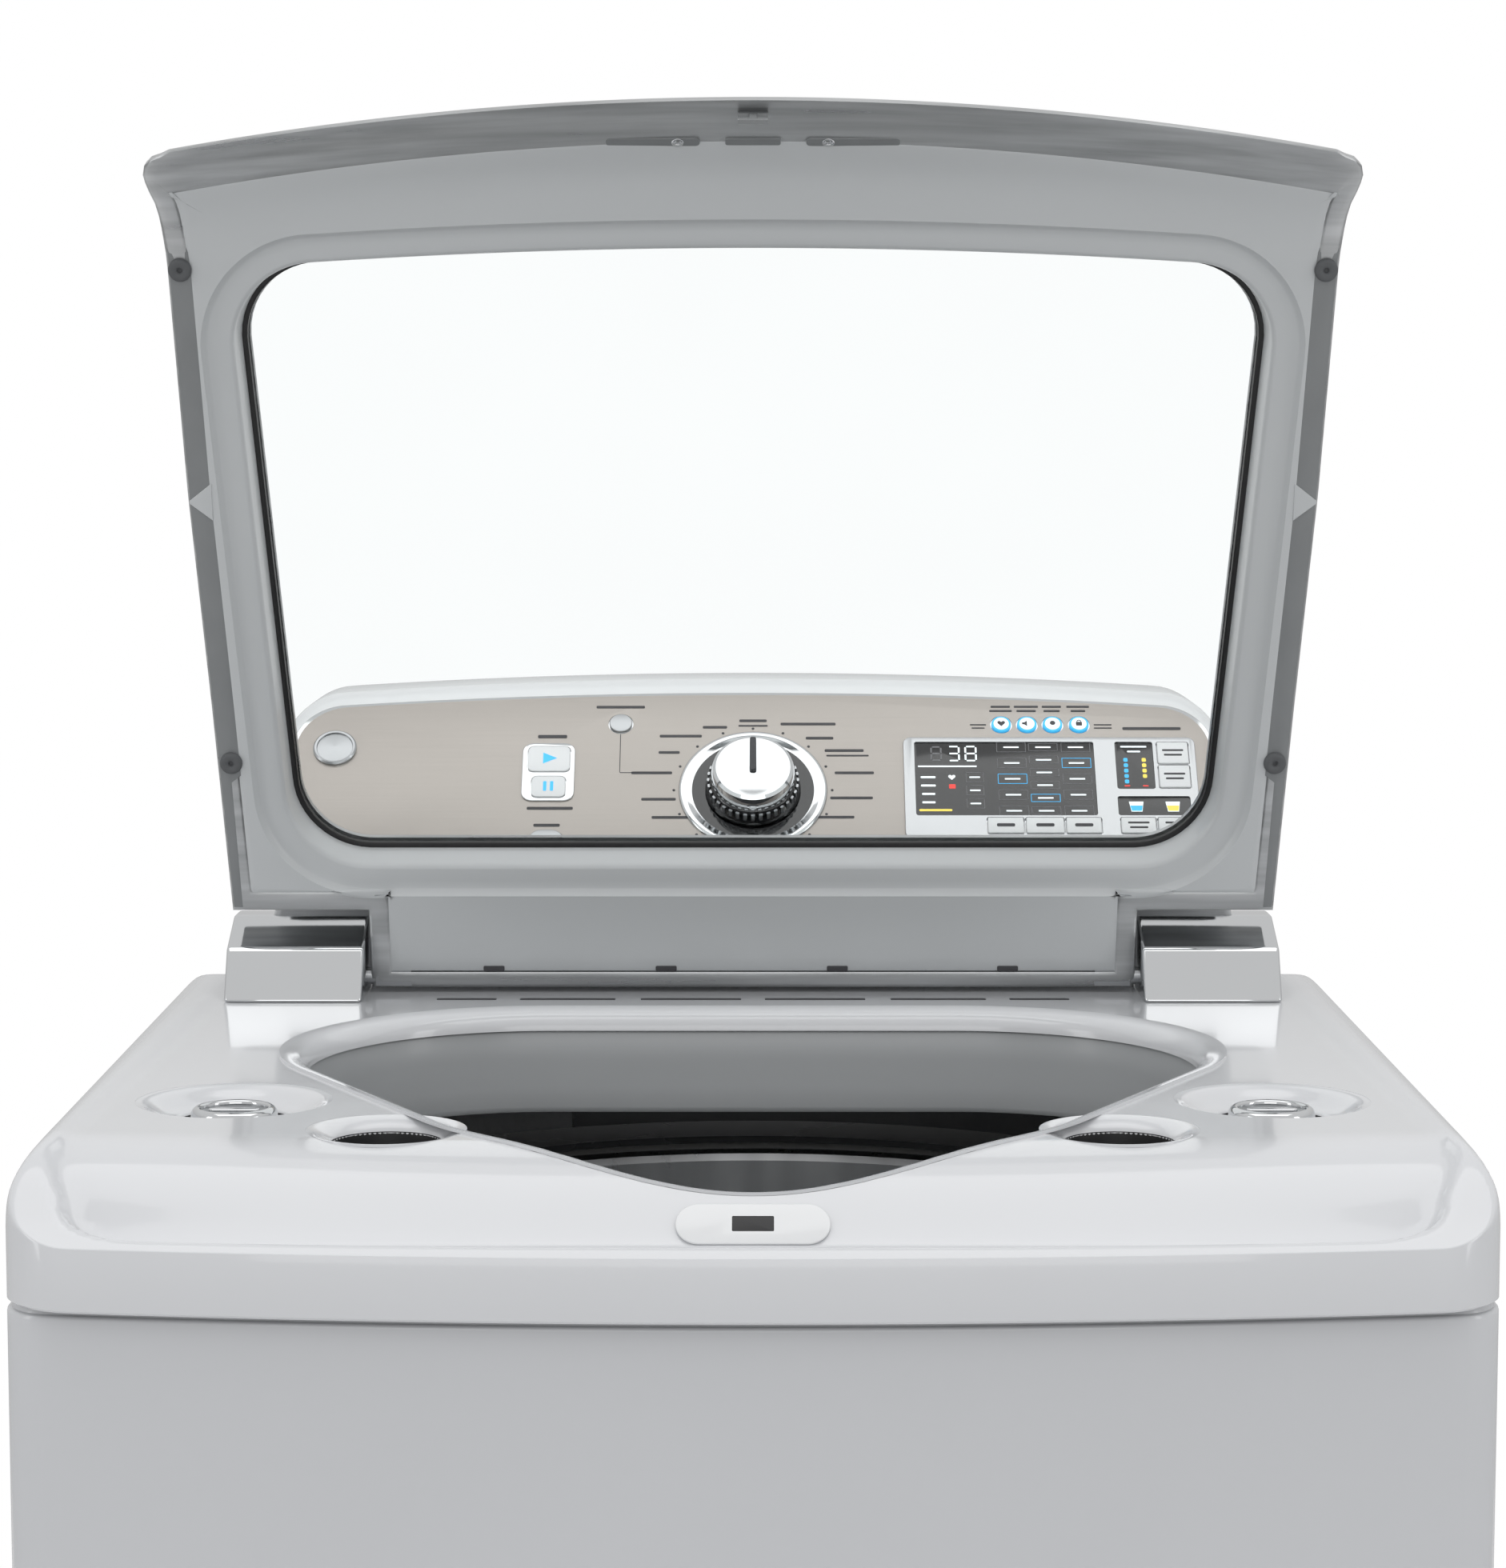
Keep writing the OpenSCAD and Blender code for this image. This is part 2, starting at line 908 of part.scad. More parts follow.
function lid_over(b) = [[-361 + b, 912], [-358 + b, 924], [-348 + b / 2, 940 - b / 2],
  [-330, 957 - b], [-308, 970 - b], [-280, 977 - b], [-250, lid_top_z - b],
  [150, lid_top_z - b], [172 - b / 2, 977 - b], [183 - b, 966 - b], [184 - b, 955]];

module lid_solid(a, b, half) {
  translate([-half, 0, 0])
    rotate([90, 0, 90])
      linear_extrude(2 * half)
        polygon(concat(lid_under(a), lid_over(b)));
}

// Window outline; g grows it outward.
module window_plan(g) {
  r = 48 + g;
  x0 = 290 + g;
  x1 = 273 + g;
  y0 = -259 - g;
  y1 = 103 + g;
  hull() {
    polygon([for (x = [-200:50:200]) [x, y0 - 8 + x * x / 7200]]);
    for (m = [-1, 1]) {
      translate([m * (x0 - r), y0 + r])
        circle(r = r);
      translate([m * (x1 - r), y1 - r])
        circle(r = r);
    }
  }
}

module lid_shell() {
  wall = 3;
  lip_y = -331;
  color("silver")
    swing()
      difference() {
        intersection() {
          lid_solid(0, 0, 340);
          translate([0, 0, 880])
            linear_extrude(120)
              polygon(lid_plan(0));
        }
        intersection() {
          union() {
            intersection() {
              lid_solid(-10, wall, 345);
              box(-340, lip_y, 900, 340, 190, 1000);
            }
            intersection() {
              lid_solid(wall, wall, 345);
              box(-340, -355, 900, 340, lip_y + 1, 1000);
            }
          }
          translate([0, 0, 880])
            linear_extrude(120)
              polygon(lid_plan(-wall));
        }
        translate([0, 0, 960])
          linear_extrude(60)
            window_plan(-6);
        mirror_x()
          translate([215, hinge_y, hinge_z])
            rotate([0, 90, 0])
              cylinder(h = 20, r = pin_r);
      }
}

module lid_liner() {
  wall = 2.5;
  skirt_z = deck_z + lid_gap + 1;
  color("gray")
    swing()
      difference() {
        union() {
          intersection() {
            difference() {
              lid_solid(0, 3, 345);
              lid_solid(wall, -20, 345);
            }
            translate([0, 0, 880])
              linear_extrude(120)
                polygon(lid_plan(-3));
            box(-340, -331, 900, 340, 168, 1000);
          }
          translate([0, 0, skirt_z])
            linear_extrude(lid_top_z - 9 - skirt_z)
              window_plan(wall);
        }
        translate([0, 0, 900])
          linear_extrude(120)
            window_plan(0);
      }
}

module lid_glass() {
  color("lightcyan", 0.4)
    swing()
      translate([0, 0, lid_top_z - 9])
        linear_extrude(3)
          window_plan(4);
}

module lid_bumpers() {
  color("black")
    swing()
      mirror_x()
        for (p = [[303.5, 40], [317.5, -254]])
          translate([p[0], p[1], deck_z + 0.4])
            cylinder(h = lid_gap - 0.4, r = 6.3, $fn = 32);
}

// A T-shaped blade: the bolt slides in over its head, beside the stem.
module lid_strike() {
  color("gray")
    swing()
      union() {
        box(-8, -350.9, 893, 8, -348.7, 897.5);
        box(-2, -350.9, 893, 2, -348.7, 910);
        box(-8, -350.9, 910, 8, -348.7, 920);
      }
}

module hinge_pins() {
  color("dimgray")
    swing()
      mirror_x() {
        box(203, 169, 944.5, 224, 179.5, 956);
        translate([205, hinge_y, hinge_z])
          rotate([0, 90, 0])
            cylinder(h = 45, r = pin_r);
      }
}

// Tub, basket and drive ------------------------------------------------------

module at_tub() {
  translate([0, tub_y, 0])
    children();
}

module rod_places() {
  for (x = [-rod_x, rod_x], y = [tub_y - rod_dy, tub_y + rod_dy])
    translate([x, y, 0])
      children();
}

module suspension_rods() {
  color("silver")
    union() {
      rod_places() {
        translate([0, 0, spring_z0 - 12])
          cylinder(h = 872 - spring_z0, r = rod_r, $fn = 32);
        translate([0, 0, spring_z0 - 8])
          cylinder(h = 8, r = spring_r + 1, $fn = 32);
      }
      mirror_x()
        for (y = [tub_y - rod_dy, tub_y + rod_dy])
          box(rod_x - 20, y - 20, 858, hw - 8, y + 20, seam_z - 4);
    }
}

module suspension_springs() {
  turns = 4;
  wire = 80;
  color("gray")
    rod_places()
      translate([0, 0, spring_z0])
        linear_extrude(arm_z0 - spring_z0, twist = -360 * turns, slices = 10 * turns, $fn = 6)
          polygon(concat(arc(0, 0, spring_r, 0, wire, 2), arc(0, 0, spring_r - 4, wire, 0, 2)));
}

module outer_tub() {
  a = atan2(rod_dy, rod_x);
  reach = norm([rod_dy, rod_x]);
  color("white")
    difference() {
      union() {
        at_tub()
          difference() {
            union() {
              translate([0, 0, tub_z0])
                cylinder(h = tub_z1 - tub_z0, r = tub_r);
              for (b = [a, -a, 180 - a, 180 + a])
                rotate([0, 0, b])
                  translate([tub_r - 12, -18, arm_z0])
                    cube([reach - tub_r + 26, 36, arm_h]);
            }
            translate([0, 0, tub_z0 + 6])
              cylinder(h = tub_z1, r = tub_r - tub_wall);
            translate([0, 0, tub_z0 - 1])
              cylinder(h = 20, r = 40);
          }
      }
      rod_places()
        translate([0, 0, arm_z0 - 5])
          cylinder(h = arm_h + 10, r = rod_r + 2, $fn = 32);
      translate([150, tub_y - 120, tub_z0 - 1])
        cylinder(h = 20, r = 14);
    }
}

module tub_ring() {
  color("black")
    at_tub()
      union() {
        tube(tub_r + 3, tub_r - 10, tub_z1, tub_z1 + 8);
        tube(tub_r - 8, 240, tub_z1 + 4, tub_z1 + 8);
      }
}

module bearing_housing() {
  color("lightgray")
    at_tub()
      union() {
        tube(stator_r, spin_tube_r + run_gap, tub_z0 - 10, tub_z0);
        tube(39.9, spin_tube_r + run_gap, tub_z0 - 38, tub_z0 + 18);
      }
}

module motor_stator() {
  color("peru")
    at_tub()
      difference() {
        tube(stator_r, 50, tub_z0 - 38, tub_z0 - 10);
        for (i = [0:11])
          rotate([0, 0, 30 * i])
            translate([96, 0, tub_z0 - 50])
              cylinder(h = 36, r = 7, $fn = 16);
      }
}

module drain_pump() {
  color("dimgray")
    translate([150, tub_y - 120, 0])
      difference() {
        union() {
          translate([0, 0, 122])
            cylinder(h = tub_z0 - 122, r = 30);
          translate([0, 0, 135])
            rotate([0, 90, 0])
              translate([0, 0, 0])
                cylinder(h = 60, r = 14, $fn = 32);
        }
        translate([0, 0, 135])
          cylinder(h = 60, r = 13);
        translate([8, 0, 137])
          rotate([0, 90, 0])
            cylinder(h = 60, r = 8);
      }
}

module wash_basket() {
  z0 = tub_z0 + 22;
  wall = 1.5;
  color("lightsteelblue")
    at_tub()
      difference() {
        union() {
          difference() {
            translate([0, 0, z0])
              cylinder(h = 802 - z0, r = basket_r);
            translate([0, 0, z0 + 4])
              cylinder(h = 800, r = basket_r - wall);
            for (i = [0:5], z = [360, 500, 640])
              translate([0, 0, z])
                rotate([0, 90, 30 * i])
                  cylinder(h = 600, r = 4, center = true, $fn = 10);
          }
          translate([0, 0, z0])
            cylinder(h = 12, r = 60);
          translate([0, 0, tub_z0 - 42])
            cylinder(h = z0 - tub_z0 + 44, r = spin_tube_r);
        }
        translate([0, 0, tub_z0 - 50])
          cylinder(h = 200, r = shaft_r + run_gap);
      }
}

module balance_ring() {
  color("silver")
    at_tub()
      difference() {
        union() {
          tube(262, 245, 812, 838);
          tube(262, basket_r, 796, 812);
        }
        translate([0, 0, 834])
          cylinder(h = 10, r1 = 245, r2 = 249);
      }
}

module wash_plate() {
  z0 = tub_z0 + 38;
  color("lightgray")
    at_tub()
      difference() {
        union() {
          translate([0, 0, z0])
            cylinder(h = 12, r1 = 196, r2 = 180);
          translate([0, 0, z0 + 12])
            cylinder(h = 22, r1 = 180, r2 = 60);
          translate([0, 0, z0 + 30])
            cylinder(h = 22, r1 = 58, r2 = 40);
          for (i = [0:4])
            rotate([0, 0, 72 * i])
              translate([40, -7, z0 + 10])
                cube([140, 14, 30]);
        }
        translate([0, 0, z0 - 1])
          cylinder(h = 40, r = shaft_r);
      }
}

module drive_shaft() {
  color("gray")
    at_tub()
      translate([0, 0, tub_z0 - 76])
        cylinder(h = 153, r = shaft_r);
}

module motor_rotor() {
  z0 = tub_z0 - 68;
  color("dimgray")
    at_tub()
      union() {
        tube(rotor_r, shaft_r, z0, z0 + 6);
        tube(rotor_r, rotor_r - 7, z0, z0 + 54);
        tube(26, shaft_r, z0, z0 + 18);
      }
}

// Drawing -------------------------------------------------------------------

cabinet_shell();
rear_panel();
base_frame();
top_cover();
opening_collar();
hinge_brackets();
hinge_covers();
lock_plate();
lock_housing();
dispenser_tanks();
dispenser_cups();
console_housing();
console_fascia();
display_trim();
display_windows();
knob_bezel();
control_board();
inlet_valve();
rear_fittings();
suspension_rods();
suspension_springs();
leg_front_left();
leg_front_right();
leg_rear_left();
leg_rear_right();
lid_shell();
lid_liner();
lid_glass();
lid_bumpers();
lid_strike();
hinge_pins();
lock_bolt();
selector_knob();
start_button();
pause_button();
power_button();
steam_button();
settings_button();
signal_button();
light_button();
child_lock_button();
soil_button();
temp_button();
spin_button();
detergent_tank_button();
softener_tank_button();
detergent_cup_button();
softener_cup_button();
detergent_cap();
softener_cap();
outer_tub();
tub_ring();
bearing_housing();
motor_stator();
drain_pump();
wash_basket();
balance_ring();
wash_plate();
drive_shaft();
motor_rotor();
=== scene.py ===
# %% [markdown]
# # A top load washing machine
# The machine comes in as a fixed frame of sixty engineering parts, already in place and in
# metres. This lesson dresses it: large skins that need soft, glossy curves are modelled again
# over the frame's parts, parts whose shape is already right only get a finish, and small marks
# and screws are added. The frame says where everything goes, so nothing is fitted by eye.

# %% Load the frame
import bpy
import json
import math
import numpy as np
from mathutils import Matrix, Vector


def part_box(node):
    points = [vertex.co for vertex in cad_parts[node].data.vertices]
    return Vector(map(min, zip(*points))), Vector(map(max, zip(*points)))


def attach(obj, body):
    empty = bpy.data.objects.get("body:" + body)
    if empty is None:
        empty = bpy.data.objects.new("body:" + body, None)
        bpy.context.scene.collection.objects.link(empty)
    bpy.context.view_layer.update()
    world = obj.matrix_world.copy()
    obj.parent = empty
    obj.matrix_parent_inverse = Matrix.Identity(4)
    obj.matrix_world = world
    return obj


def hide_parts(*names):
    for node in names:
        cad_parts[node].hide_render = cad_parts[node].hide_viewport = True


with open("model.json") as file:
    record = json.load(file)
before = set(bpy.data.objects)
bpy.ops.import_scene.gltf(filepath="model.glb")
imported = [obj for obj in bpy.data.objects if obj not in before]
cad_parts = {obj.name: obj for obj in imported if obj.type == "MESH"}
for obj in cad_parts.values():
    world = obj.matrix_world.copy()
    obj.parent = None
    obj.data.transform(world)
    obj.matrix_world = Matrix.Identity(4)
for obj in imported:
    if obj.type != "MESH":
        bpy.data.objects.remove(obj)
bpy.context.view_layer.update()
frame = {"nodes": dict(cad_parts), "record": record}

# %% [markdown]
# Operators act on everything that is selected, and the frame arrives selected, so the first
# step is to let go of it. `mm` keeps every size below in the unit a maker would use.

# %% Small helpers
bpy.ops.object.select_all(action="DESELECT")
mm = 0.001
MADE = {}


def only(obj):
    """Selects one object and makes it the active one."""
    bpy.ops.object.select_all(action="DESELECT")
    obj.select_set(True)
    bpy.context.view_layer.objects.active = obj


def edit(obj, *steps):
    """Runs edit mode operators on the whole mesh of one object."""
    only(obj)
    bpy.ops.object.mode_set(mode="EDIT")
    bpy.ops.mesh.select_all(action="SELECT")
    for step in steps:
        step()
    bpy.ops.object.mode_set(mode="OBJECT")


def modifier(obj, kind, **settings):
    """Adds one modifier, sets it and applies it."""
    only(obj)
    m = obj.modifiers.new(kind.lower(), kind)
    for key, value in settings.items():
        setattr(m, key, value)
    bpy.ops.object.modifier_apply(modifier=m.name)


def smooth(obj, degrees=35):
    """Smooth shading that keeps edges sharper than the given angle."""
    only(obj)
    bpy.ops.object.shade_smooth_by_angle(angle=math.radians(degrees))


def done(obj, body, material, replaces=(), angle=35):
    """Gives a finished piece its finish, the body it rides on and the nodes it stands for."""
    if material is not None:
        obj.data.materials.clear()
        obj.data.materials.append(material)
    smooth(obj, angle)
    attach(obj, body)
    if replaces:
        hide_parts(*replaces)
    MADE[obj.name] = len(obj.data.polygons)
    return obj


# %% [markdown]
# Most skins on an appliance are sheets that follow an outline: a wall, a rim, a bowl. A grid
# primitive has exactly the faces such a sheet needs, so `sheet` adds a grid and moves each of
# its points onto rows of places worked out from the outline. `wrap` closes the grid on itself
# for a loop, and merging doubles seals the seam.

# %% Sheets from rows of points
def raised(outline, z):
    """An outline at a height: one for all of its points, or one for each."""
    return np.column_stack([outline, np.full(len(outline), z)])


def sheet(name, rows, wrap=False, thick=0.0, offset=-1.0, outward=False):
    """A grid moved onto rows of points, closed into a loop by wrap, with a wall if asked."""
    rows = np.asarray(rows, dtype=float)
    if wrap:
        rows = np.concatenate([rows, rows[:, :1]], axis=1)
    ny, nx = rows.shape[:2]
    bpy.ops.mesh.primitive_grid_add(x_subdivisions=nx - 1, y_subdivisions=ny - 1, size=2)
    obj = bpy.context.object
    obj.name = obj.data.name = name
    flat = np.empty(len(obj.data.vertices) * 3)
    obj.data.vertices.foreach_get("co", flat)
    flat = flat.reshape(-1, 3)
    i = np.rint((flat[:, 0] + 1) / 2 * (nx - 1)).astype(int)
    j = np.rint((flat[:, 1] + 1) / 2 * (ny - 1)).astype(int)
    obj.data.vertices.foreach_set("co", (rows[j, i] * mm).ravel())
    obj.data.update()
    steps = [lambda: bpy.ops.mesh.remove_doubles(threshold=1e-6)]
    if outward:
        steps.append(lambda: bpy.ops.mesh.normals_make_consistent(inside=False))
    edit(obj, *steps)
    if thick:
        modifier(obj, "SOLIDIFY", thickness=thick * mm, offset=offset)
    return obj


def slab(name, outline, z0, z1, bevel=0.0):
    """A plate of any outline: a filled circle moved onto the outline, extruded and bevelled."""
    outline = np.asarray(outline, dtype=float)
    n = len(outline)
    bpy.ops.mesh.primitive_circle_add(vertices=n, radius=1, fill_type="NGON")
    obj = bpy.context.object
    obj.name = obj.data.name = name
    obj.data.vertices.foreach_set("co", (raised(outline, z0) * mm).ravel())
    obj.data.update()
    edit(obj,
         lambda: bpy.ops.mesh.extrude_region_move(
             TRANSFORM_OT_translate={"value": (0, 0, (z1 - z0) * mm)}),
         lambda: bpy.ops.mesh.select_all(action="SELECT"),
         lambda: bpy.ops.mesh.normals_make_consistent(inside=False))
    if bevel:
        modifier(obj, "BEVEL", width=bevel * mm, segments=3, limit_method="ANGLE",
                 angle_limit=math.radians(50))
    return obj


def place(obj, matrix):
    """Moves the mesh itself, so the object stays at the origin."""
    obj.data.transform(matrix)
    obj.data.update()
    return obj


def join(name, *objs):
    """Several pieces made into one."""
    only(objs[0])
    for o in objs:
        o.select_set(True)
    bpy.ops.object.join()
    objs[0].name = objs[0].data.name = name
    return objs[0]


def arc(cx, cy, r, a0, a1, n):
    """Points of a round stretch, from angle a0 to a1 in degrees."""
    a = np.radians(np.linspace(a0, a1, n + 1))
    return np.column_stack([cx + r * np.cos(a), cy + r * np.sin(a)])


def round_rect(x0, y0, x1, y1, r, n=6):
    """A rectangle with round corners."""
    return np.concatenate([arc(x1 - r, y1 - r, r, 0, 90, n), arc(x0 + r, y1 - r, r, 90, 180, n),
                           arc(x0 + r, y0 + r, r, 180, 270, n),
                           arc(x1 - r, y0 + r, r, 270, 360, n)])


def turned(name, profile, cx, cy, n=64):
    """A piece with round sections: rows of [radius, z] swept about an upright axis."""
    a = np.linspace(0, 2 * np.pi, n, endpoint=False)
    rows = [np.column_stack([cx + r * np.cos(a), cy + r * np.sin(a), np.full(n, z)])
            for r, z in profile]
    return sheet(name, rows, wrap=True, outward=True)


SIDES = (("l", -1), ("r", 1))


# %% [markdown]
# ## Finishes
# A finish is more than a colour. Enamel is very smooth but never perfectly even, so its
# roughness drifts a little and a faint orange peel bends reflections. Moulded plastic has a
# fine grain, brushed metal has streaks along one direction. Each pattern reads Object
# coordinates, which stay with the piece when it moves.

# %% A finish maker
CLOUD_SCALE = 9.0
COAT_ROUGHNESS = 0.05
RELIEF = 0.4 * mm


def finish(name, color, rough=0.3, metal=0.0, vary=0.03, grain=400.0, bump=0.02, streak=None,
           coat=0.0, spread=0.06):
    """A finish: its tone drifts by vary, its roughness by spread, and grain sets the bump."""
    m = bpy.data.materials.new(name)
    m.use_nodes = True
    tree = m.node_tree
    bsdf = tree.nodes["Principled BSDF"]
    bsdf.inputs["Metallic"].default_value = metal
    bsdf.inputs["Coat Weight"].default_value = coat
    bsdf.inputs["Coat Roughness"].default_value = COAT_ROUGHNESS
    where = tree.nodes.new("ShaderNodeTexCoord")
    stretch = tree.nodes.new("ShaderNodeMapping")
    stretch.inputs["Scale"].default_value = streak or (1, 1, 1)
    tree.links.new(where.outputs["Object"], stretch.inputs["Vector"])
    cloud = tree.nodes.new("ShaderNodeTexNoise")
    cloud.inputs["Scale"].default_value = CLOUD_SCALE if streak is None else grain
    cloud.inputs["Detail"].default_value = 4.0
    tree.links.new(stretch.outputs["Vector"], cloud.inputs["Vector"])
    tone = tree.nodes.new("ShaderNodeMix")
    tone.data_type = "RGBA"
    low = [max(0.0, c * (1 - vary)) for c in color]
    high = [min(1.0, c * (1 + vary)) for c in color]
    tone.inputs["A"].default_value = (*low, 1)
    tone.inputs["B"].default_value = (*high, 1)
    tree.links.new(cloud.outputs["Fac"], tone.inputs["Factor"])
    tree.links.new(tone.outputs["Result"], bsdf.inputs["Base Color"])
    span = tree.nodes.new("ShaderNodeMapRange")
    span.inputs["To Min"].default_value = max(0.02, rough - spread)
    span.inputs["To Max"].default_value = rough + spread
    tree.links.new(cloud.outputs["Fac"], span.inputs["Value"])
    tree.links.new(span.outputs["Result"], bsdf.inputs["Roughness"])
    if bump:
        fine = tree.nodes.new("ShaderNodeTexNoise")
        fine.inputs["Scale"].default_value = grain
        fine.inputs["Detail"].default_value = 2.0
        tree.links.new(stretch.outputs["Vector"], fine.inputs["Vector"])
        relief = tree.nodes.new("ShaderNodeBump")
        relief.inputs["Strength"].default_value = bump
        relief.inputs["Distance"].default_value = RELIEF
        tree.links.new(fine.outputs["Fac"], relief.inputs["Height"])
        tree.links.new(relief.outputs["Normal"], bsdf.inputs["Normal"])
    return m


# %% The machine's own finishes
enamel = finish("white_enamel", (0.60, 0.61, 0.63), 0.24, vary=0.012, grain=260, bump=0.03,
                coat=0.5, spread=0.03)
cover_white = finish("cover_white", (0.66, 0.67, 0.69), 0.16, vary=0.01, grain=300, bump=0.012,
                     coat=0.6, spread=0.03)
console_white = finish("console_white", (0.74, 0.75, 0.76), 0.2, vary=0.01, grain=300,
                       bump=0.012, coat=0.4, spread=0.03)
liner_grey = finish("liner_grey", (0.54, 0.56, 0.57), 0.3, vary=0.02, grain=900, bump=0.05,
                    coat=0.15, spread=0.04)
collar_grey = finish("collar_grey", (0.42, 0.435, 0.445), 0.32, vary=0.03, grain=900, bump=0.05,
                     coat=0.15)
lid_silver = finish("lid_silver", (0.46, 0.47, 0.475), 0.32, metal=0.75, vary=0.5, grain=110,
                    bump=0.05, streak=(0.06, 1, 1), spread=0.14)
strip_silver = finish("strip_silver", (0.24, 0.25, 0.255), 0.42, metal=0.3, vary=0.14, grain=24,
                      bump=0.05, streak=(2, 2, 1), spread=0.08)
chrome = finish("bright_chrome", (0.62, 0.63, 0.64), 0.07, metal=1.0, vary=0.02, grain=60,
                bump=0.0, spread=0.03)
satin_metal = finish("satin_metal", (0.42, 0.43, 0.44), 0.3, metal=1.0, vary=0.06, grain=80,
                     bump=0.03)
champagne = finish("champagne_panel", (0.44, 0.405, 0.375), 0.36, metal=0.35, vary=0.05,
                   grain=90, bump=0.04, streak=(0.15, 8, 8), spread=0.05)
# Black for the black plastic parts, also used as painted shade: the dark rings round the large
# caps' necks stand in for a shadowed gap.
black_plastic = finish("black_plastic", (0.012, 0.012, 0.013), 0.4, vary=0.2, grain=900,
                       bump=0.08)
band_black = finish("band_black", (0.02, 0.021, 0.022), 0.28, vary=0.2, grain=500, bump=0.05)
window_black = finish("window_black", (0.006, 0.006, 0.007), 0.09, vary=0.1, grain=200,
                      bump=0.0, coat=0.6, spread=0.02)
rubber = finish("rubber_grey", (0.10, 0.105, 0.11), 0.7, vary=0.15, grain=700, bump=0.15)
steel = finish("basket_steel", (0.78, 0.79, 0.80), 0.3, metal=1.0, vary=0.08, grain=70,
               bump=0.05, streak=(1, 1, 0.1), spread=0.08)
zinc = finish("zinc_sheet", (0.42, 0.43, 0.44), 0.42, metal=0.9, vary=0.12, grain=30, bump=0.05)
cast = finish("cast_alloy", (0.45, 0.46, 0.47), 0.5, metal=0.9, vary=0.1, grain=500, bump=0.3)
copper = finish("copper_winding", (0.55, 0.25, 0.12), 0.35, metal=0.9, vary=0.2, grain=300,
                bump=0.3, streak=(1, 1, 8))
milk_plastic = finish("milk_plastic", (0.62, 0.63, 0.62), 0.45, vary=0.04, grain=700, bump=0.08)
board_green = finish("board_green", (0.02, 0.12, 0.05), 0.4, vary=0.3, grain=500, bump=0.1)
button_white = finish("button_white", (0.80, 0.81, 0.82), 0.3, vary=0.02, grain=500, bump=0.02,
                      coat=0.3)
# Dark for the printed marks, also used as painted shade inside the liner's slots and the deck's
# vents.
mark_dark = finish("mark_dark", (0.05, 0.05, 0.055), 0.5, vary=0.1, grain=500, bump=0.0)
trim_silver = finish("trim_silver", (0.50, 0.51, 0.52), 0.2, metal=0.7, vary=0.04, grain=70,
                     bump=0.02)
print("finishes", len(bpy.data.materials))


# %% [markdown]
# Clear glass needs transmission, and the lit marks on the display need a glow of their own.
# Both values are set straight on the shader.

# %% Glass and glowing marks
def glow(name, color, strength):
    """A lit mark."""
    m = finish(name, color, 0.4, vary=0.03, grain=300, bump=0.0)
    bsdf = m.node_tree.nodes["Principled BSDF"]
    bsdf.inputs["Emission Color"].default_value = (*color, 1)
    bsdf.inputs["Emission Strength"].default_value = strength
    return m


glass = finish("clear_glass", (0.96, 0.98, 0.98), 0.03, vary=0.01, grain=60, bump=0.0,
               spread=0.01)
glass_shader = glass.node_tree.nodes["Principled BSDF"]
glass_shader.inputs["Transmission Weight"].default_value = 1.0
glass_shader.inputs["IOR"].default_value = 1.05
glow_blue = glow("glow_blue", (0.05, 0.42, 0.78), 0.55)
glow_white = glow("glow_white", (0.75, 0.8, 0.82), 0.7)
glow_red = glow("glow_red", (0.7, 0.05, 0.04), 0.5)
glow_yellow = glow("glow_yellow", (0.8, 0.62, 0.1), 0.5)


# %% [markdown]
# ## The cabinet
# The wrap is one sheet of enamelled steel: both sides and a front that bows out by about an
# inch. A flat box would give the front one dead reflection, while the bow makes light slide
# across it. The outline of the bow is written once and shared with the top cover.

# %% The bowed outline
SHELL_LO, SHELL_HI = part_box("cabinet_shell")
COVER_LO, COVER_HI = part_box("top_cover")
HALF = COVER_HI[0] / mm
FRONT = COVER_LO[1] / mm
BACK = 358.0
SEAM = COVER_LO[2] / mm
BOW = 2300.0


def bow(x):
    """How far the front line falls back from its middle."""
    return BOW - np.sqrt(BOW * BOW - np.minimum(np.abs(x), HALF) ** 2)


def wrap_line(inset, front, corner):
    """Points from the back left, round the bowed front, to the back right."""
    half = HALF - inset
    r = max(corner - inset, 2.0)
    x = np.linspace(-(half - r), half - r, 61)
    y = front + inset + bow(x)
    lean = math.degrees(math.asin((half - r) / BOW))
    left = arc(-half + r, y[0] + r, r, 180, 270 - lean, 12)[:-1]
    right = arc(half - r, y[-1] + r, r, 270 + lean, 360, 12)[1:]
    back = BACK - inset * 0.2
    side = np.linspace(back, left[0][1], 9)[:-1]
    return np.concatenate([np.column_stack([np.full(8, -half), side]), left,
                           np.column_stack([x, y]), right,
                           np.column_stack([np.full(8, half), side[::-1]])])


print("half width", HALF, "front", FRONT, "seam", SEAM)

# %% The cabinet wrap
CORNER = 26
top = SHELL_HI[2] / mm
cab_front = SHELL_LO[1] / mm
profile = [(18, 30.2), (3.5, 30.2), (1.2, 30.8), (0.2, 32.5), (0, 36), (0, 200), (0, 450),
           (0, 700), (0, top - 12), (0, top - 5.5), (0.3, top - 4), (1.2, top - 3.2),
           (2.2, top - 3.0), (2.4, top - 2), (2.5, top), (18, top)]
rows = []
for inset, z in profile:
    rows.append(raised(wrap_line(inset, cab_front, CORNER), z))
wrap = sheet("cabinet_wrap", rows, thick=1.6)
done(wrap, "cabinet", enamel, ["cabinet_shell"], 40)
print("cabinet wrap", len(wrap.data.polygons), "faces")

# %% [markdown]
# ## The top cover
# The cover is the face of the machine: a soft shoulder all round, a tray that sits lower than
# its rim, a slope down to the front, and four sunk bowls. Its height is a smooth function of
# place, so a dense grid carries it well. Grid lines crowd together at the shoulder, where the
# surface turns fast, and the corner squares are mapped onto round corners.

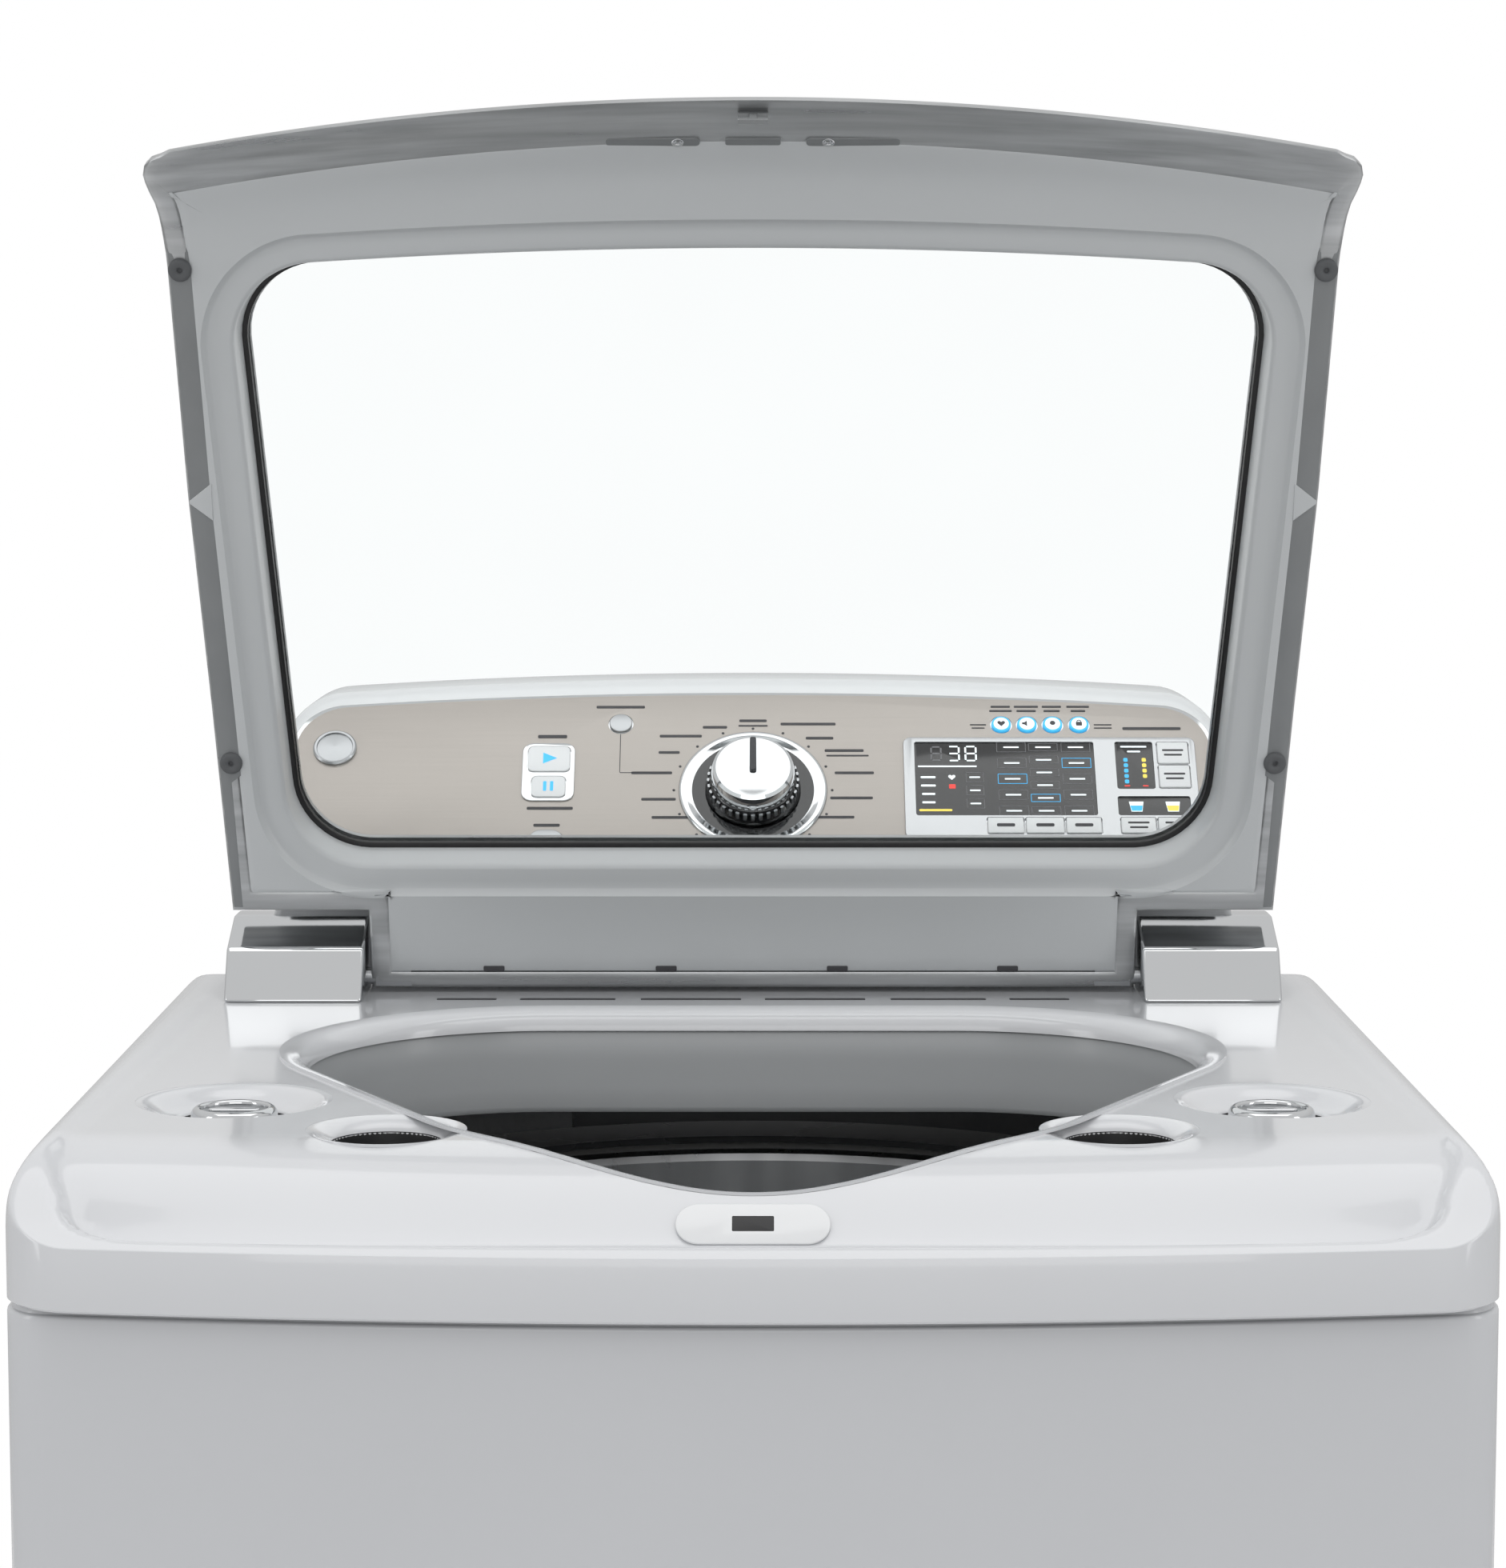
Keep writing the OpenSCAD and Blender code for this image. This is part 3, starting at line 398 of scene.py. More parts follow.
# %% Heights over the cover
NEAR = np.array([0, 0.12, 0.45, 1.0, 1.8, 2.9, 4.3, 6.0, 8.0, 10.3, 13, 16, 19.5, 23, 27, 31.5,
                 36, 40.5, 45, 49.5, 54])
DECK_Y = [-380, -375, -371, -368.5, -366, -362.5, -359, -355, -350, -345, -340, -335, -330, -325,
          -318, -310, -302, -295, -285, -270, 225, 240, 262, 300, 362]
DECK_Z = [897, 899.5, 902.5, 903.8, 903.6, 902.6, 903.8, 907.5, 912.5, 917.6, 922.4, 926.6, 930,
          932.8, 935.8, 938, 939.2, 939.8, 940, 940, 940, 939, 930, 922.5, 912]
RIM_Y = [-380, -375, -369, -362, -355, -348, -340, -330, -318, -305, -290, -270, 215, 235, 262,
         362]
RIM_Z = [898, 901, 905.5, 911, 917.5, 924, 930.5, 936.5, 941, 943.6, 945, 945.5, 945.5, 942,
         932, 913]


def step(v):
    """A soft step from 0 to 1."""
    v = np.clip(v, 0, 1)
    return v * v * (3 - 2 * v)


def shoulder(inset):
    """Height of the round shoulder, inset in from the cover's edge."""
    return 905 + 41 * (1 - (1 - np.clip(inset, 0, 30) / 30) ** 2.3) ** 0.435


def near_front(y, start=-250):
    """0 over the flat of the cover and 1 at its front, where places follow the bow."""
    return step((start - y) / 40)


def deck_height(x, y):
    """The tray's floor: flat, with the slope at the front falling a little to the sides."""
    slope = np.interp(y - bow(x) * near_front(y), DECK_Y, DECK_Z)
    return slope - 5.5 * (x / 300) ** 2 * near_front(y, -300)


def cover_height(x, y, inset):
    """The cover's top: the rim outside the tray's edge and the floor inside it."""
    rim = np.interp(y - bow(x) * near_front(y), RIM_Y, RIM_Z)
    band = np.minimum(shoulder(inset), rim) - 0.8 * np.exp(-((shoulder(inset) - rim) / 4) ** 2)
    floor = deck_height(x, y)
    # distance in from the tray's edge, a long rounded rectangle that widens to the front
    side = np.interp(y, [-300, -179, 205, 300], [336, 331, 316, 313]) - np.abs(x)
    front = y - bow(x) + 366.5
    r = 48.0
    both = (side < r) & (front < r)
    inside = np.minimum(side, front)
    corner = r - np.hypot(r - side, r - front)
    inside = np.where(both, corner, inside)
    t = np.where(front < side, step((inside + 3.5) / 5.5), step((inside + 1.0) / 7.0))
    return band * (1 - t) + np.minimum(floor, band + 20) * t


# %% The cover's skin
steps_x = np.concatenate([NEAR, np.linspace(59, HALF, 64)])
xs = np.concatenate([-HALF + steps_x, (HALF - steps_x[:-1])[::-1]])
depth = BACK - FRONT
vs = np.concatenate([NEAR, np.linspace(58.5, depth, 150)])
X, V = np.meshgrid(xs, vs)
dx = HALF - np.abs(X)
COVER_R = 34.0
u = np.clip(1 - dx / COVER_R, 0, 1)
w = np.clip(1 - V / COVER_R, 0, 1)
u2 = u * np.sqrt(1 - w * w / 2)
w2 = w * np.sqrt(1 - u * u / 2)
corner = (u > 0) & (w > 0)
Xc = np.where(corner, np.sign(X) * (HALF - COVER_R + COVER_R * u2), X)
Vc = np.where(corner, COVER_R - COVER_R * w2, V)
inset = np.where(corner, COVER_R - COVER_R * np.hypot(u2, w2), np.minimum(dx, V))
front_line = FRONT + bow(Xc)
Y = front_line + (BACK - front_line) * Vc / depth
Z = cover_height(Xc, Y, inset)
skin = np.dstack([Xc, Y, Z])
cover = sheet("top_cover_skin", skin)
print("cover skin points", skin.shape)

# %% [markdown]
# The skirt is pulled down from the edge of the skin by extruding it, and a few rounds of
# smoothing on the inside of the skin take the last hardness out of the folds.

# %% Soften the folds and pull the skirt down
SKIRT_LOW = (SEAM + 1.6) * mm
HEM = 1.2 * mm
HEM_INWARD = 0.9965


def soften_inside():
    bpy.ops.mesh.select_non_manifold()
    bpy.ops.mesh.select_all(action="INVERT")
    bpy.ops.mesh.vertices_smooth(factor=0.5, repeat=2)


edit(cover, lambda: bpy.ops.mesh.select_all(action="DESELECT"), soften_inside)


def skirt():
    bpy.ops.mesh.select_all(action="DESELECT")
    bpy.ops.mesh.select_non_manifold()
    bpy.ops.mesh.extrude_region_move(TRANSFORM_OT_translate={"value": (0, 0, -0.001)})


edit(cover, lambda: bpy.ops.mesh.select_all(action="DESELECT"), skirt)
low = [v.index for v in cover.data.vertices if v.select]
for i in low:
    cover.data.vertices[i].co.z = SKIRT_LOW
edit(cover, lambda: bpy.ops.mesh.select_all(action="DESELECT"))
for i in low:
    cover.data.vertices[i].select = True
only(cover)
bpy.ops.object.mode_set(mode="EDIT")
bpy.ops.mesh.extrude_region_move(TRANSFORM_OT_translate={"value": (0, 0, -HEM)})
bpy.ops.transform.resize(value=(HEM_INWARD, HEM_INWARD, 1))
bpy.ops.object.mode_set(mode="OBJECT")
print("skirt points", len(low))

# %% [markdown]
# The mouth of the tub is two round sides and a wide round front, joined by straight runs. The
# same line cuts the skin, shapes the rolled lip, and guides the grey wall below.

# %% The mouth's outline
SIDE, SIDE_R = np.array([115.0, -28.0]), 128.0
NOSE, NOSE_R = np.array([0.0, -155.0]), 170.0


def mouth(grow, n=40):
    """The mouth's line, grow outside it: sides and nose with the line that touches both."""
    span = NOSE - SIDE
    d = np.hypot(*span)
    c = (NOSE_R - SIDE_R) / d
    s = math.sqrt(1 - c * c)
    ux, uy = span / d
    lean = math.degrees(math.atan2(s * ux - c * uy, -c * ux - s * uy))
    right = arc(SIDE[0], SIDE[1], SIDE_R + grow, 90, lean, n)
    nose = arc(NOSE[0], NOSE[1], NOSE_R + grow, lean, -90, n)
    half = [np.array([[x, SIDE[1] + SIDE_R + grow] for x in np.linspace(0, 115, 14)[:-1]]),
            right, np.linspace(right[-1], nose[0], 14)[1:-1], nose[:-1]]
    half = np.concatenate(half)
    other = half[1:][::-1] * [-1, 1]
    return np.concatenate([half, [[0, NOSE[1] - NOSE_R - grow]], other])


def on_deck(points):
    """The deck's height at each point."""
    return deck_height(points[:, 0], points[:, 1])


LIP = 14.0
LIP_DROP = LIP * 0.8
BOWLS = {"detergent": (-262, -183, 44.5), "softener": (262, -183, 44.5),
         "left": (-178, -261, 34.0), "right": (178, -261, 34.0)}
SMALL_BOWLS = ("left", "right")
print("mouth points", len(mouth(0)))


# %% Cut the mouth and the bowls out of the skin
def cut(obj, outline, z0=850, z1=990):
    """Cuts an outline out of a piece, from z0 to z1."""
    tool = slab("cutter", outline, z0, z1)
    modifier(obj, "BOOLEAN", operation="DIFFERENCE", solver="EXACT", object=tool)
    bpy.data.objects.remove(tool)


modifier(cover, "SOLIDIFY", thickness=2.4 * mm, offset=-1.0)
cut(cover, mouth(LIP))
for x, y, r in BOWLS.values():
    cut(cover, arc(x, y, r + 5, 0, 360, 72)[:-1])
done(cover, "cabinet", cover_white, ["top_cover"], 40)
print("cover faces", len(cover.data.polygons))

# %% [markdown]
# The lip rolls from the deck into the mouth. It is a strip whose section is a slightly flat
# quarter round, carried along the outline, and it hands over to the grey collar a little way
# down.

# %% The rolled lip and the grey collar
COLLAR_LOW = 881
edge = on_deck(mouth(LIP))
rows = []
for k in range(9):
    a = math.pi / 2 * k / 8
    rows.append(raised(mouth(LIP * (1 - math.sin(a))), edge - LIP_DROP * (1 - math.cos(a))))
lip = sheet("mouth_lip", rows, wrap=True, thick=1.4)
done(lip, "cabinet", cover_white, [], 60)
base = edge - LIP_DROP
rows = []
for grow, drop, at in ((1.2, 0.5, 0), (1.0, 1.2, 0), (0.6, 2.0, 0), (0.5, 0, 0.35), (0.3, 0, 0.7),
                       (0.2, 0, 0.93), (0.9, 0, 0.975), (2.2, 0, 1.0)):
    rows.append(raised(mouth(grow), (base - drop) * (1 - at) + COLLAR_LOW * at))
collar = sheet("mouth_wall", rows, wrap=True, thick=1.6, offset=1.0)
done(collar, "cabinet", collar_grey, ["opening_collar"], 60)


# %% [markdown]
# A bowl is a soft dish: the deck rolls over its edge, falls in one sweep and flattens round
# the neck of the tank or the black cup.

# %% Four bowls
def bowl(key):
    """A dish; the small ones are steep and the large ones have a flat floor round the neck."""
    x, y, r = BOWLS[key]
    if key in SMALL_BOWLS:
        section = [(r + 5.2, 939.9), (r + 3.6, 939.75), (r + 2.0, 939.45), (r + 0.2, 938.9),
                   (r - 1.8, 938.1), (r - 3.8, 937.0), (r - 5.4, 935.7), (r - 6.4, 934.4),
                   (r - 6.9, 933.0), (r - 7.0, 931.5)]
    else:
        section = [(r + 5.2, 939.9), (r + 3.6, 939.7), (r + 2.0, 939.3), (r + 0.2, 938.5),
                   (r - 1.8, 937.2), (r - 4.2, 935.4), (r - 7.0, 933.4), (r - 10.0, 931.8),
                   (r - 13.0, 930.8), (r - 14.6, 930.2), (r - 15.4, 929.2), (r - 15.6, 927.8)]
    dish = turned(key + "_bowl", section, x, y, 72)
    up = sum(p.normal.z for p in dish.data.polygons)
    if up < 0:
        edit(dish, lambda: bpy.ops.mesh.flip_normals())
    modifier(dish, "SOLIDIFY", thickness=1.5 * mm, offset=-1.0)
    done(dish, "cabinet", cover_white, [], 60)


for key in BOWLS:
    bowl(key)
# In the large bowls the black ring round the cap's neck is painted shade: a dark sheet standing in
# for the shadowed gap where the dish meets the tank. In the small bowls it is the black cup.
for key in ("left", "right", "detergent", "softener"):
    x, y = BOWLS[key][:2]
    small = key in SMALL_BOWLS
    r_top, z_top = (27.2, 933.6) if small else (29.1, 929.4)
    low = 888.0 if small else 918.9
    tip = 0.01 if small else 22.6
    well = turned(key + "_well", [(r_top, z_top), (r_top - 0.4, z_top - 3), (r_top - 2.5, low + 6),
                                  (r_top - 5, low + 1), (tip, low), (tip, low - 1),
                                  (r_top - 4, low), (r_top - 1.4, low + 6),
                                  (r_top + 0.8, z_top - 3), (r_top + 1.0, z_top), (r_top, z_top)],
                  x, y, 64)
    done(well, "cabinet", black_plastic, [], 50)
print("bowls done")

# %% The caps on the large bowls
for key in ("detergent", "softener"):
    node = key + "_cap"
    x, y = BOWLS[key][:2]
    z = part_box(node)[0][2] / mm
    ring = turned(key + "_cap_ring", [(17.6, z), (21.0, z), (21.9, z + 0.8), (22, z + 12.5),
                                      (21.7, z + 15.6), (20.8, z + 17.4), (19.2, z + 18.4),
                                      (17.6, z + 18.2), (16.9, z + 17.2), (17.0, z + 15.6),
                                      (17.6, z + 15.2), (17.6, z)], x, y, 72)
    done(ring, node, chrome, [node], 50)
    dish = turned(key + "_cap_top", [(17.5, z + 15.9), (15.5, z + 15.2), (12, z + 14.6),
                                     (6, z + 14.4), (0.01, z + 14.3), (0.01, z + 13.4),
                                     (17.5, z + 13.4), (17.5, z + 15.9)], x, y, 48)
    done(dish, node, satin_metal, [], 50)
    grip = slab(key + "_cap_grip", round_rect(x - 13, y - 2.2, x + 13, y + 2.2, 2.1), z + 14.4,
                z + 17.4, 0.8)
    done(grip, node, chrome, [], 50)
print("caps done")

# %% [markdown]
# ## The lid
# The lid is easiest to draw shut, lying over the deck, and then swung up about its hinge. The
# hinge's place and travel come from the frame's record, so the swing agrees with the
# engineering parts; it turns about the x axis, which the code sets. Shut, the lid runs from the
# hinge line to a lip that follows the front slope.

# %% The swing and the lid's outline
hinge = next(j for j in frame["record"]["behaviour"]["joints"] if j["name"] == "lid_hinge")
PIVOT = Vector(hinge["pos_m"])
OPEN = math.radians(hinge["range_deg"][1])
SWING = (Matrix.Translation(PIVOT) @ Matrix.Rotation(-OPEN, 4, "X")
         @ Matrix.Translation(-PIVOT))
UNDER = 943.5
REAR_Y = 183.0
EAR_Y = 131
CHEEK_X = 227.0
SIDE_X = [(EAR_Y, 307.0), (3, 313.0), (-125, 320.0), (-262, 324.5), (-292, 327.0), (-303, 330.0),
          (-312, 331.0)]


def lid_front(x):
    """The lid's front edge, a long arch."""
    return -359.0 + x * x / 3500.0


def lid_loop(g):
    """The lid's outline seen from above, g inside its edge, from the back middle round."""
    side = np.array([[x - g, y] for y, x in SIDE_X])
    xe = side[-1][0]
    yf = lid_front(xe) + g
    knee = np.array([[xe + 0.2, -309], [xe + 0.3, yf + 13], [xe - 1.5, yf + 7],
                     [xe - 5.5, yf + 2.6], [xe - 11, yf + 0.2]])
    xf = np.linspace(xe - 16, 0, 46)
    nose = np.column_stack([xf, lid_front(xf) + g])
    back = REAR_Y - g
    inner = CHEEK_X - g
    rear = np.array([[x, back] for x in np.linspace(0, inner, 24)])
    cheek = np.array([[inner, y] for y in np.linspace(back, EAR_Y - g, 8)[1:]])
    ear = np.array([[x, EAR_Y - g] for x in np.linspace(inner, side[0][0], 12)[1:]])
    ys = np.linspace(EAR_Y - g - 3, -303, 58)
    run = np.column_stack([np.interp(-ys, -side[:, 1], side[:, 0]), ys])
    half = np.concatenate([rear, cheek, ear, run, knee, nose])
    other = half[1:-1][::-1] * [-1, 1]
    return np.concatenate([half, other])


UNDER_Y = [-359, -352, -340, -325, -310, -285, -262, 160, 177, 184]
UNDER_Z = [907.5, 914, 926, 935.5, 940.6, 943.2, 943.5, 943.5, 944.0, 949]
OVER_Y = [-361, -359, -354, -346, -336, -324, -310, -292, -270, -240, 140, 160, 172, 180, 184]
OVER_Z = [912, 919, 931, 943, 954.5, 964, 971.5, 976.8, 979.4, 980, 980, 979.6, 977.4, 972, 962]


def lid_place(p):
    """How far back each point is, with the front edge's arch straightened out."""
    return p[:, 1] - (lid_front(p[:, 0]) + 359) * step((-240 - p[:, 1]) / 50)


def under(p):
    """Underside height of the lid."""
    return np.interp(lid_place(p), UNDER_Y, UNDER_Z)


def over(p):
    """Top side height of the lid."""
    return np.interp(lid_place(p), OVER_Y, OVER_Z)


def window_loop(g):
    """Half of the window's outline, g outside it, from the back middle to the front middle."""
    x0, x1, y0, y1 = 290 + g, 273 + g, -259 - g, 103 + g
    r = 48 + g
    back = arc(x1 - r, y1 - r, r, 90, 3, 40)
    front = arc(x0 - r, y0 + r, r, 0, -90, 40)
    crown = [[x, y0 - 8 + 8 * (x / (x0 - r)) ** 2] for x in np.linspace(x0 - r, 0, 24)[1:]]
    return np.concatenate([[[0, y1]], back, front, crown])


def along(path, share):
    """Points at given shares of a path's length."""
    seg = np.hypot(*np.diff(path, axis=0).T)
    s = np.concatenate([[0], np.cumsum(seg)])
    return np.column_stack([np.interp(share * s[-1], s, path[:, 0]),
                            np.interp(share * s[-1], s, path[:, 1])])


OUTLINE = lid_loop(0)
HALF_N = len(OUTLINE) // 2 + 1


def window_points(g):
    """The window's outline resampled so that rays from it meet the lid's outline squarely."""
    path = window_loop(g)
    dense = along(path, np.linspace(0, 1, 1200))
    mid_y = -85.0
    ask = np.arctan2(OUTLINE[:HALF_N, 0], OUTLINE[:HALF_N, 1] - mid_y)
    have = np.arctan2(dense[:, 0], dense[:, 1] - mid_y)
    have = np.maximum.accumulate(have)
    half = np.column_stack([np.interp(ask, have, dense[:, 0]),
                            np.interp(ask, have, dense[:, 1])])
    half[0, 0] = half[-1, 0] = 0
    return np.concatenate([half, half[1:-1][::-1] * [-1, 1]])


print("lid outline", len(OUTLINE), "window", len(window_points(0)))


# %% The silver shell of the lid
def lid_border(g, nose):
    """The lid's outline, g in from its sides and nose in from its front edge."""
    p = lid_loop(g)
    front = np.maximum(p[:, 1], lid_front(p[:, 0]) + nose)
    p[:, 1] = np.where(p[:, 1] < -250, front, p[:, 1])
    return p


W = window_points(-6)
rows = []
for g, nose, lift in ((13.0, 29.5, 6.0), (12.8, 29.2, 2.0), (12.4, 28.6, 0.7), (11.6, 27.6, 0.2),
                      (10.5, 25.0, 0.0), (5, 12.0, 0.0), (2.4, 3.0, 0.2), (0.9, 0.9, 0.9),
                      (0.15, 0.15, 2.2), (0, 0, 4.0)):
    p = lid_border(g, nose)
    rows.append(raised(p, under(p) + lift))
edge = lid_loop(0)
lo, hi = under(edge) + 4.0, over(edge) - 6.0
hi = np.maximum(hi, lo + 1.5)
for t in (0.33, 0.66, 1.0):
    rows.append(raised(edge, lo * (1 - t) + hi * t))
for g, drop in ((0.5, 4.0), (1.5, 2.2), (3.2, 0.9), (5.5, 0.25), (8.5, 0.0), (13, 0.0),
                (19, 0.0), (26, 0.0)):
    p = lid_loop(g)
    rows.append(raised(p, np.maximum(over(p) - drop, hi)))
far = lid_loop(26)
for t in (0.2, 0.45, 0.7, 0.88, 0.97, 1.0):
    p = far * (1 - t) + W * t
    rows.append(raised(p, over(p)))
rows.append(raised(W, 979.0))
rows.append(raised(window_points(-5.5), 977.2))
shell = sheet("lid_silver_shell", rows, wrap=True)
place(shell, SWING)
done(shell, "lid", lid_silver, ["lid_shell"], 40)
print("lid shell faces", len(shell.data.polygons))

# %% [markdown]
# The liner is one grey moulding. Its border lies level with the silver frame, a shallow groove
# runs round the window, the front end bends down with the lip, and a short wall leads in to
# the glass.

# %% The grey liner
groove_in = window_points(9.5)
groove_out = window_points(15.5)
border_in = window_points(18)
start = lid_border(12.0, 28.0)
start[:, 1] = np.minimum(start[:, 1], 169.5)
second = lid_border(13.5, 30.0)
second[:, 1] = np.minimum(second[:, 1], 168)


rows = [raised(start, under(start) + 5.0), raised(start, under(start) + 0.6),
        raised(second, under(second) - 0.3)]
for t in (0.15, 0.35, 0.6, 0.85, 1.0):
    p = second * (1 - t) + border_in * t
    rows.append(raised(p, under(p) - 0.3))
rows.append(raised(border_in * 0.5 + groove_out * 0.5, under(groove_out) + 1.2))
rows.append(raised(groove_out, under(groove_out) + 3.2))
rows.append(raised(groove_out * 0.8 + groove_in * 0.2, under(groove_in) + 3.8))
rows.append(raised(groove_in, under(groove_in) + 4.2))
ledge = window_points(3)
rows.append(raised(ledge, under(ledge) + 4.4))
for g, z in ((1.2, UNDER + 5.0), (0.2, UNDER + 6.4), (0, UNDER + 9.0), (-1.5, 964.0),
             (-2.0, 972.6)):
    rows.append(raised(window_points(g), z))
liner = sheet("lid_grey_liner", rows, wrap=True)
modifier(liner, "SOLIDIFY", thickness=1.2 * mm, offset=-1.0)
place(liner, SWING)
done(liner, "lid", liner_grey, ["lid_liner"], 40)
print("liner faces", len(liner.data.polygons))

# %% The dark rubber edge round the glass
rows = [raised(window_points(g), z)
        for g, z in ((-1.6, 970.6), (-3.2, 970.4), (-4.6, 971.0), (-5.0, 972.9))]
seal = sheet("window_seal", rows, wrap=True, thick=0.5, offset=0)
place(seal, SWING)
done(seal, "lid", black_plastic, [], 40)


# %% [markdown]
# Small parts finish the lid: four bumpers with a dimple, a silver strip down each side, two
# latch tabs with screws, the strike's recess, four slots drawn as flat plates of painted shade
# along the hinge edge and the two pointed tabs that hold the liner's sides.

# %% Bumpers
for i, (x, y) in enumerate(((303.0, 36.5), (317.0, -256.5))):
    for tag, side in SIDES:
        z = UNDER
        b = turned(f"lid_bumper_{i}_{tag}",
                   [(6.5, z + 1), (6.5, z - 1.6), (6.0, z - 2.6), (4.6, z - 3.0), (2.4, z - 2.9),
                    (1.5, z - 2.2), (1.2, z - 1.0), (0.01, z - 0.9), (0.01, z + 1), (6.5, z + 1)],
                   side * x, y, 40)
        place(b, SWING)
        done(b, "lid", rubber, ["lid_bumpers"], 50)

# %% Silver strips down the lid's sides
for tag, side in SIDES:
    ys = np.concatenate([np.linspace(-270, -129, 40), np.linspace(-126, 44, 30),
                         np.linspace(49, 128, 20)])
    outer = np.interp(-ys, [-y for y, _ in SIDE_X], [x for _, x in SIDE_X]) - 1.4
    inner = outer - np.interp(ys, [-270, 44, 49, 128], [12.6, 12.6, 6.0, 5.0])
    loop = np.concatenate([np.column_stack([outer, ys]), np.column_stack([inner, ys])[::-1]])
    strip = slab("side_strip_" + tag, loop * [side, 1], UNDER - 0.15, UNDER + 0.8, 0.1)
    place(strip, SWING)
    done(strip, "lid", strip_silver, [], 40)

# %% Pointed side tabs and latch tabs
TAB_Y = -122
tilt = Matrix.Translation((0, -0.331, 0.9316)) @ Matrix.Rotation(math.radians(39), 4, "X")
for tag, side in SIDES:
    tri = np.array([[side * 306.0, TAB_Y - 11], [side * 306.0, TAB_Y + 11],
                    [side * 318.6, TAB_Y + 1.0], [side * 319.0, TAB_Y],
                    [side * 318.6, TAB_Y - 1.0]])
    tab = slab("side_tab_" + tag, tri, UNDER - 0.8, UNDER + 1.5, 0.3)
    place(tab, SWING)
    done(tab, "lid", liner_grey, [], 40)
    x0, x1 = sorted((side * 29, side * 80))
    plate = slab("latch_tab_" + tag, round_rect(x0, -3.2, x1, 3.2, 2.4), -0.9, 0.8, 0.3)
    cx = side * 41
    head = turned("latch_screw_" + tag,
                  [(3.4, -0.6), (3.4, -1.2), (2.9, -1.5), (1.4, -1.6), (1.2, -1.2),
                   (0.01, -1.1), (0.01, -0.6), (3.4, -0.6)], cx, 0, 32)
    for piece, look in ((plate, strip_silver), (head, chrome)):
        place(piece, SWING @ tilt)
        done(piece, "lid", look, [], 40)
print("tabs done")

# %% Slots along the hinge edge of the liner
# Each slot is a thin dark plate, not a hole: painted shade standing in for the dark inside of the
# slot.
for k, x in enumerate((-153.6, -51.5, 50.0, 151.0)):
    s = slab(f"liner_slot_{k}", round_rect(x - 6.2, 166.0, x + 6.2, 169.2, 0.8), UNDER - 0.6,
             UNDER + 0.8, 0.1)
    place(s, SWING)
    done(s, "lid", mark_dark, [], 40)
recess = slab("strike_recess", round_rect(-15, -2.8, 15, 2.8, 1.2), -0.7, 0.8, 0.3)
place(recess, SWING @ tilt)
done(recess, "lid", strip_silver, [], 40)

# %% [markdown]
# ## Hinge blocks
# Two bright blocks cover the hinge ends. They are plain wedges with slightly soft edges, and
# on chrome it is exactly those soft edges that catch the light.

# %% Hinge blocks
BLOCK_IN, BLOCK_OUT = 229.0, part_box("hinge_covers")[1][0] / mm
wedge = np.array([[132.3, 940.1], [150, 970], [185, 985], [205, 985], [210.8, 979],
                  [210.8, 940.1]])
turn = Matrix(((0, 0, 1, 0), (1, 0, 0, 0), (0, 1, 0, 0), (0, 0, 0, 1)))
for tag, side in SIDES:
    blk = slab("hinge_block_" + tag, wedge, BLOCK_IN, BLOCK_OUT)
    place(blk, turn)
    if side < 0:
        place(blk, Matrix.Scale(-1, 4, (1, 0, 0)))
    edit(blk, lambda: bpy.ops.mesh.normals_make_consistent(inside=False))
    modifier(blk, "BEVEL", width=2.4 * mm, segments=5, limit_method="ANGLE",
             angle_limit=math.radians(20))
    done(blk, "cabinet", chrome, ["hinge_covers"], 30)
print("hinge blocks done")

# %% [markdown]
# ## The console
# The console is a long white housing with round ends. Drawing its outline from the front,
# pulling it back through its depth and then slicing it with the sloped face gives the round
# ends and the crowned top edge at once, the way a real part is trimmed.

# %% The console's outline and its face
CON_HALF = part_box("console_housing")[1][0] / mm
CON_FOOT = 940.5
CON_TOP = 1117.5
CON_R = 40.0
FACE_ORIGIN = Vector((0, 0.300, 1.113))
TILT = math.radians(46)
FACE = Matrix.Translation(FACE_ORIGIN) @ Matrix.Rotation(TILT, 4, "X")


def crown(x):
    """How far the console's top edge falls towards its ends."""
    return 8.5 * (np.asarray(x) / 260.0) ** 2


def console_outline():
    """The housing seen from the front: a flat foot, round ends and a crowned top."""
    x = np.linspace(CON_HALF - CON_R, -(CON_HALF - CON_R), 41)
    z = CON_TOP - crown(x)
    right = arc(CON_HALF - CON_R, z[0] - CON_R, CON_R, 0, 86, 14)[:-1]
    left = right[::-1] * [-1, 1]
    return np.concatenate([[[CON_HALF, CON_FOOT]], right, np.column_stack([x, z]), left,
                           [[-CON_HALF, CON_FOOT]]])


body = slab("console_body", console_outline(), -362, -203.5)
place(body, Matrix(((1, 0, 0, 0), (0, 0, -1, 0), (0, 1, 0, 0), (0, 0, 0, 1))))
edit(body, lambda: bpy.ops.mesh.normals_make_consistent(inside=False))


def slice_off(point, normal):
    """Removes what lies beyond a plane and closes the cut."""
    bpy.ops.mesh.select_all(action="SELECT")
    bpy.ops.mesh.bisect(plane_co=point, plane_no=normal, use_fill=True, clear_outer=True)


face_normal = (0, -math.sin(TILT), math.cos(TILT))
edit(body, lambda: slice_off(tuple(FACE_ORIGIN), face_normal),
     lambda: slice_off((0, 0.212, 1.006), (0, -0.78, -0.62)),
     lambda: slice_off((0, 0.2125, 0.98), (0, -1, 0)),
     lambda: bpy.ops.mesh.select_all(action="SELECT"),
     lambda: bpy.ops.mesh.normals_make_consistent(inside=False))
modifier(body, "BEVEL", width=6 * mm, segments=5, limit_method="ANGLE",
         angle_limit=math.radians(24))
done(body, "cabinet", console_white, ["console_housing"], 50)
print("console body", len(body.data.polygons))


# %% [markdown]
# The control panel is a thin brushed sheet let into the sloped face, with its own round
# corners and a bright edge. Everything on the face is drawn flat, in millimetres across and
# down the face, and one matrix carries it up onto the slope.

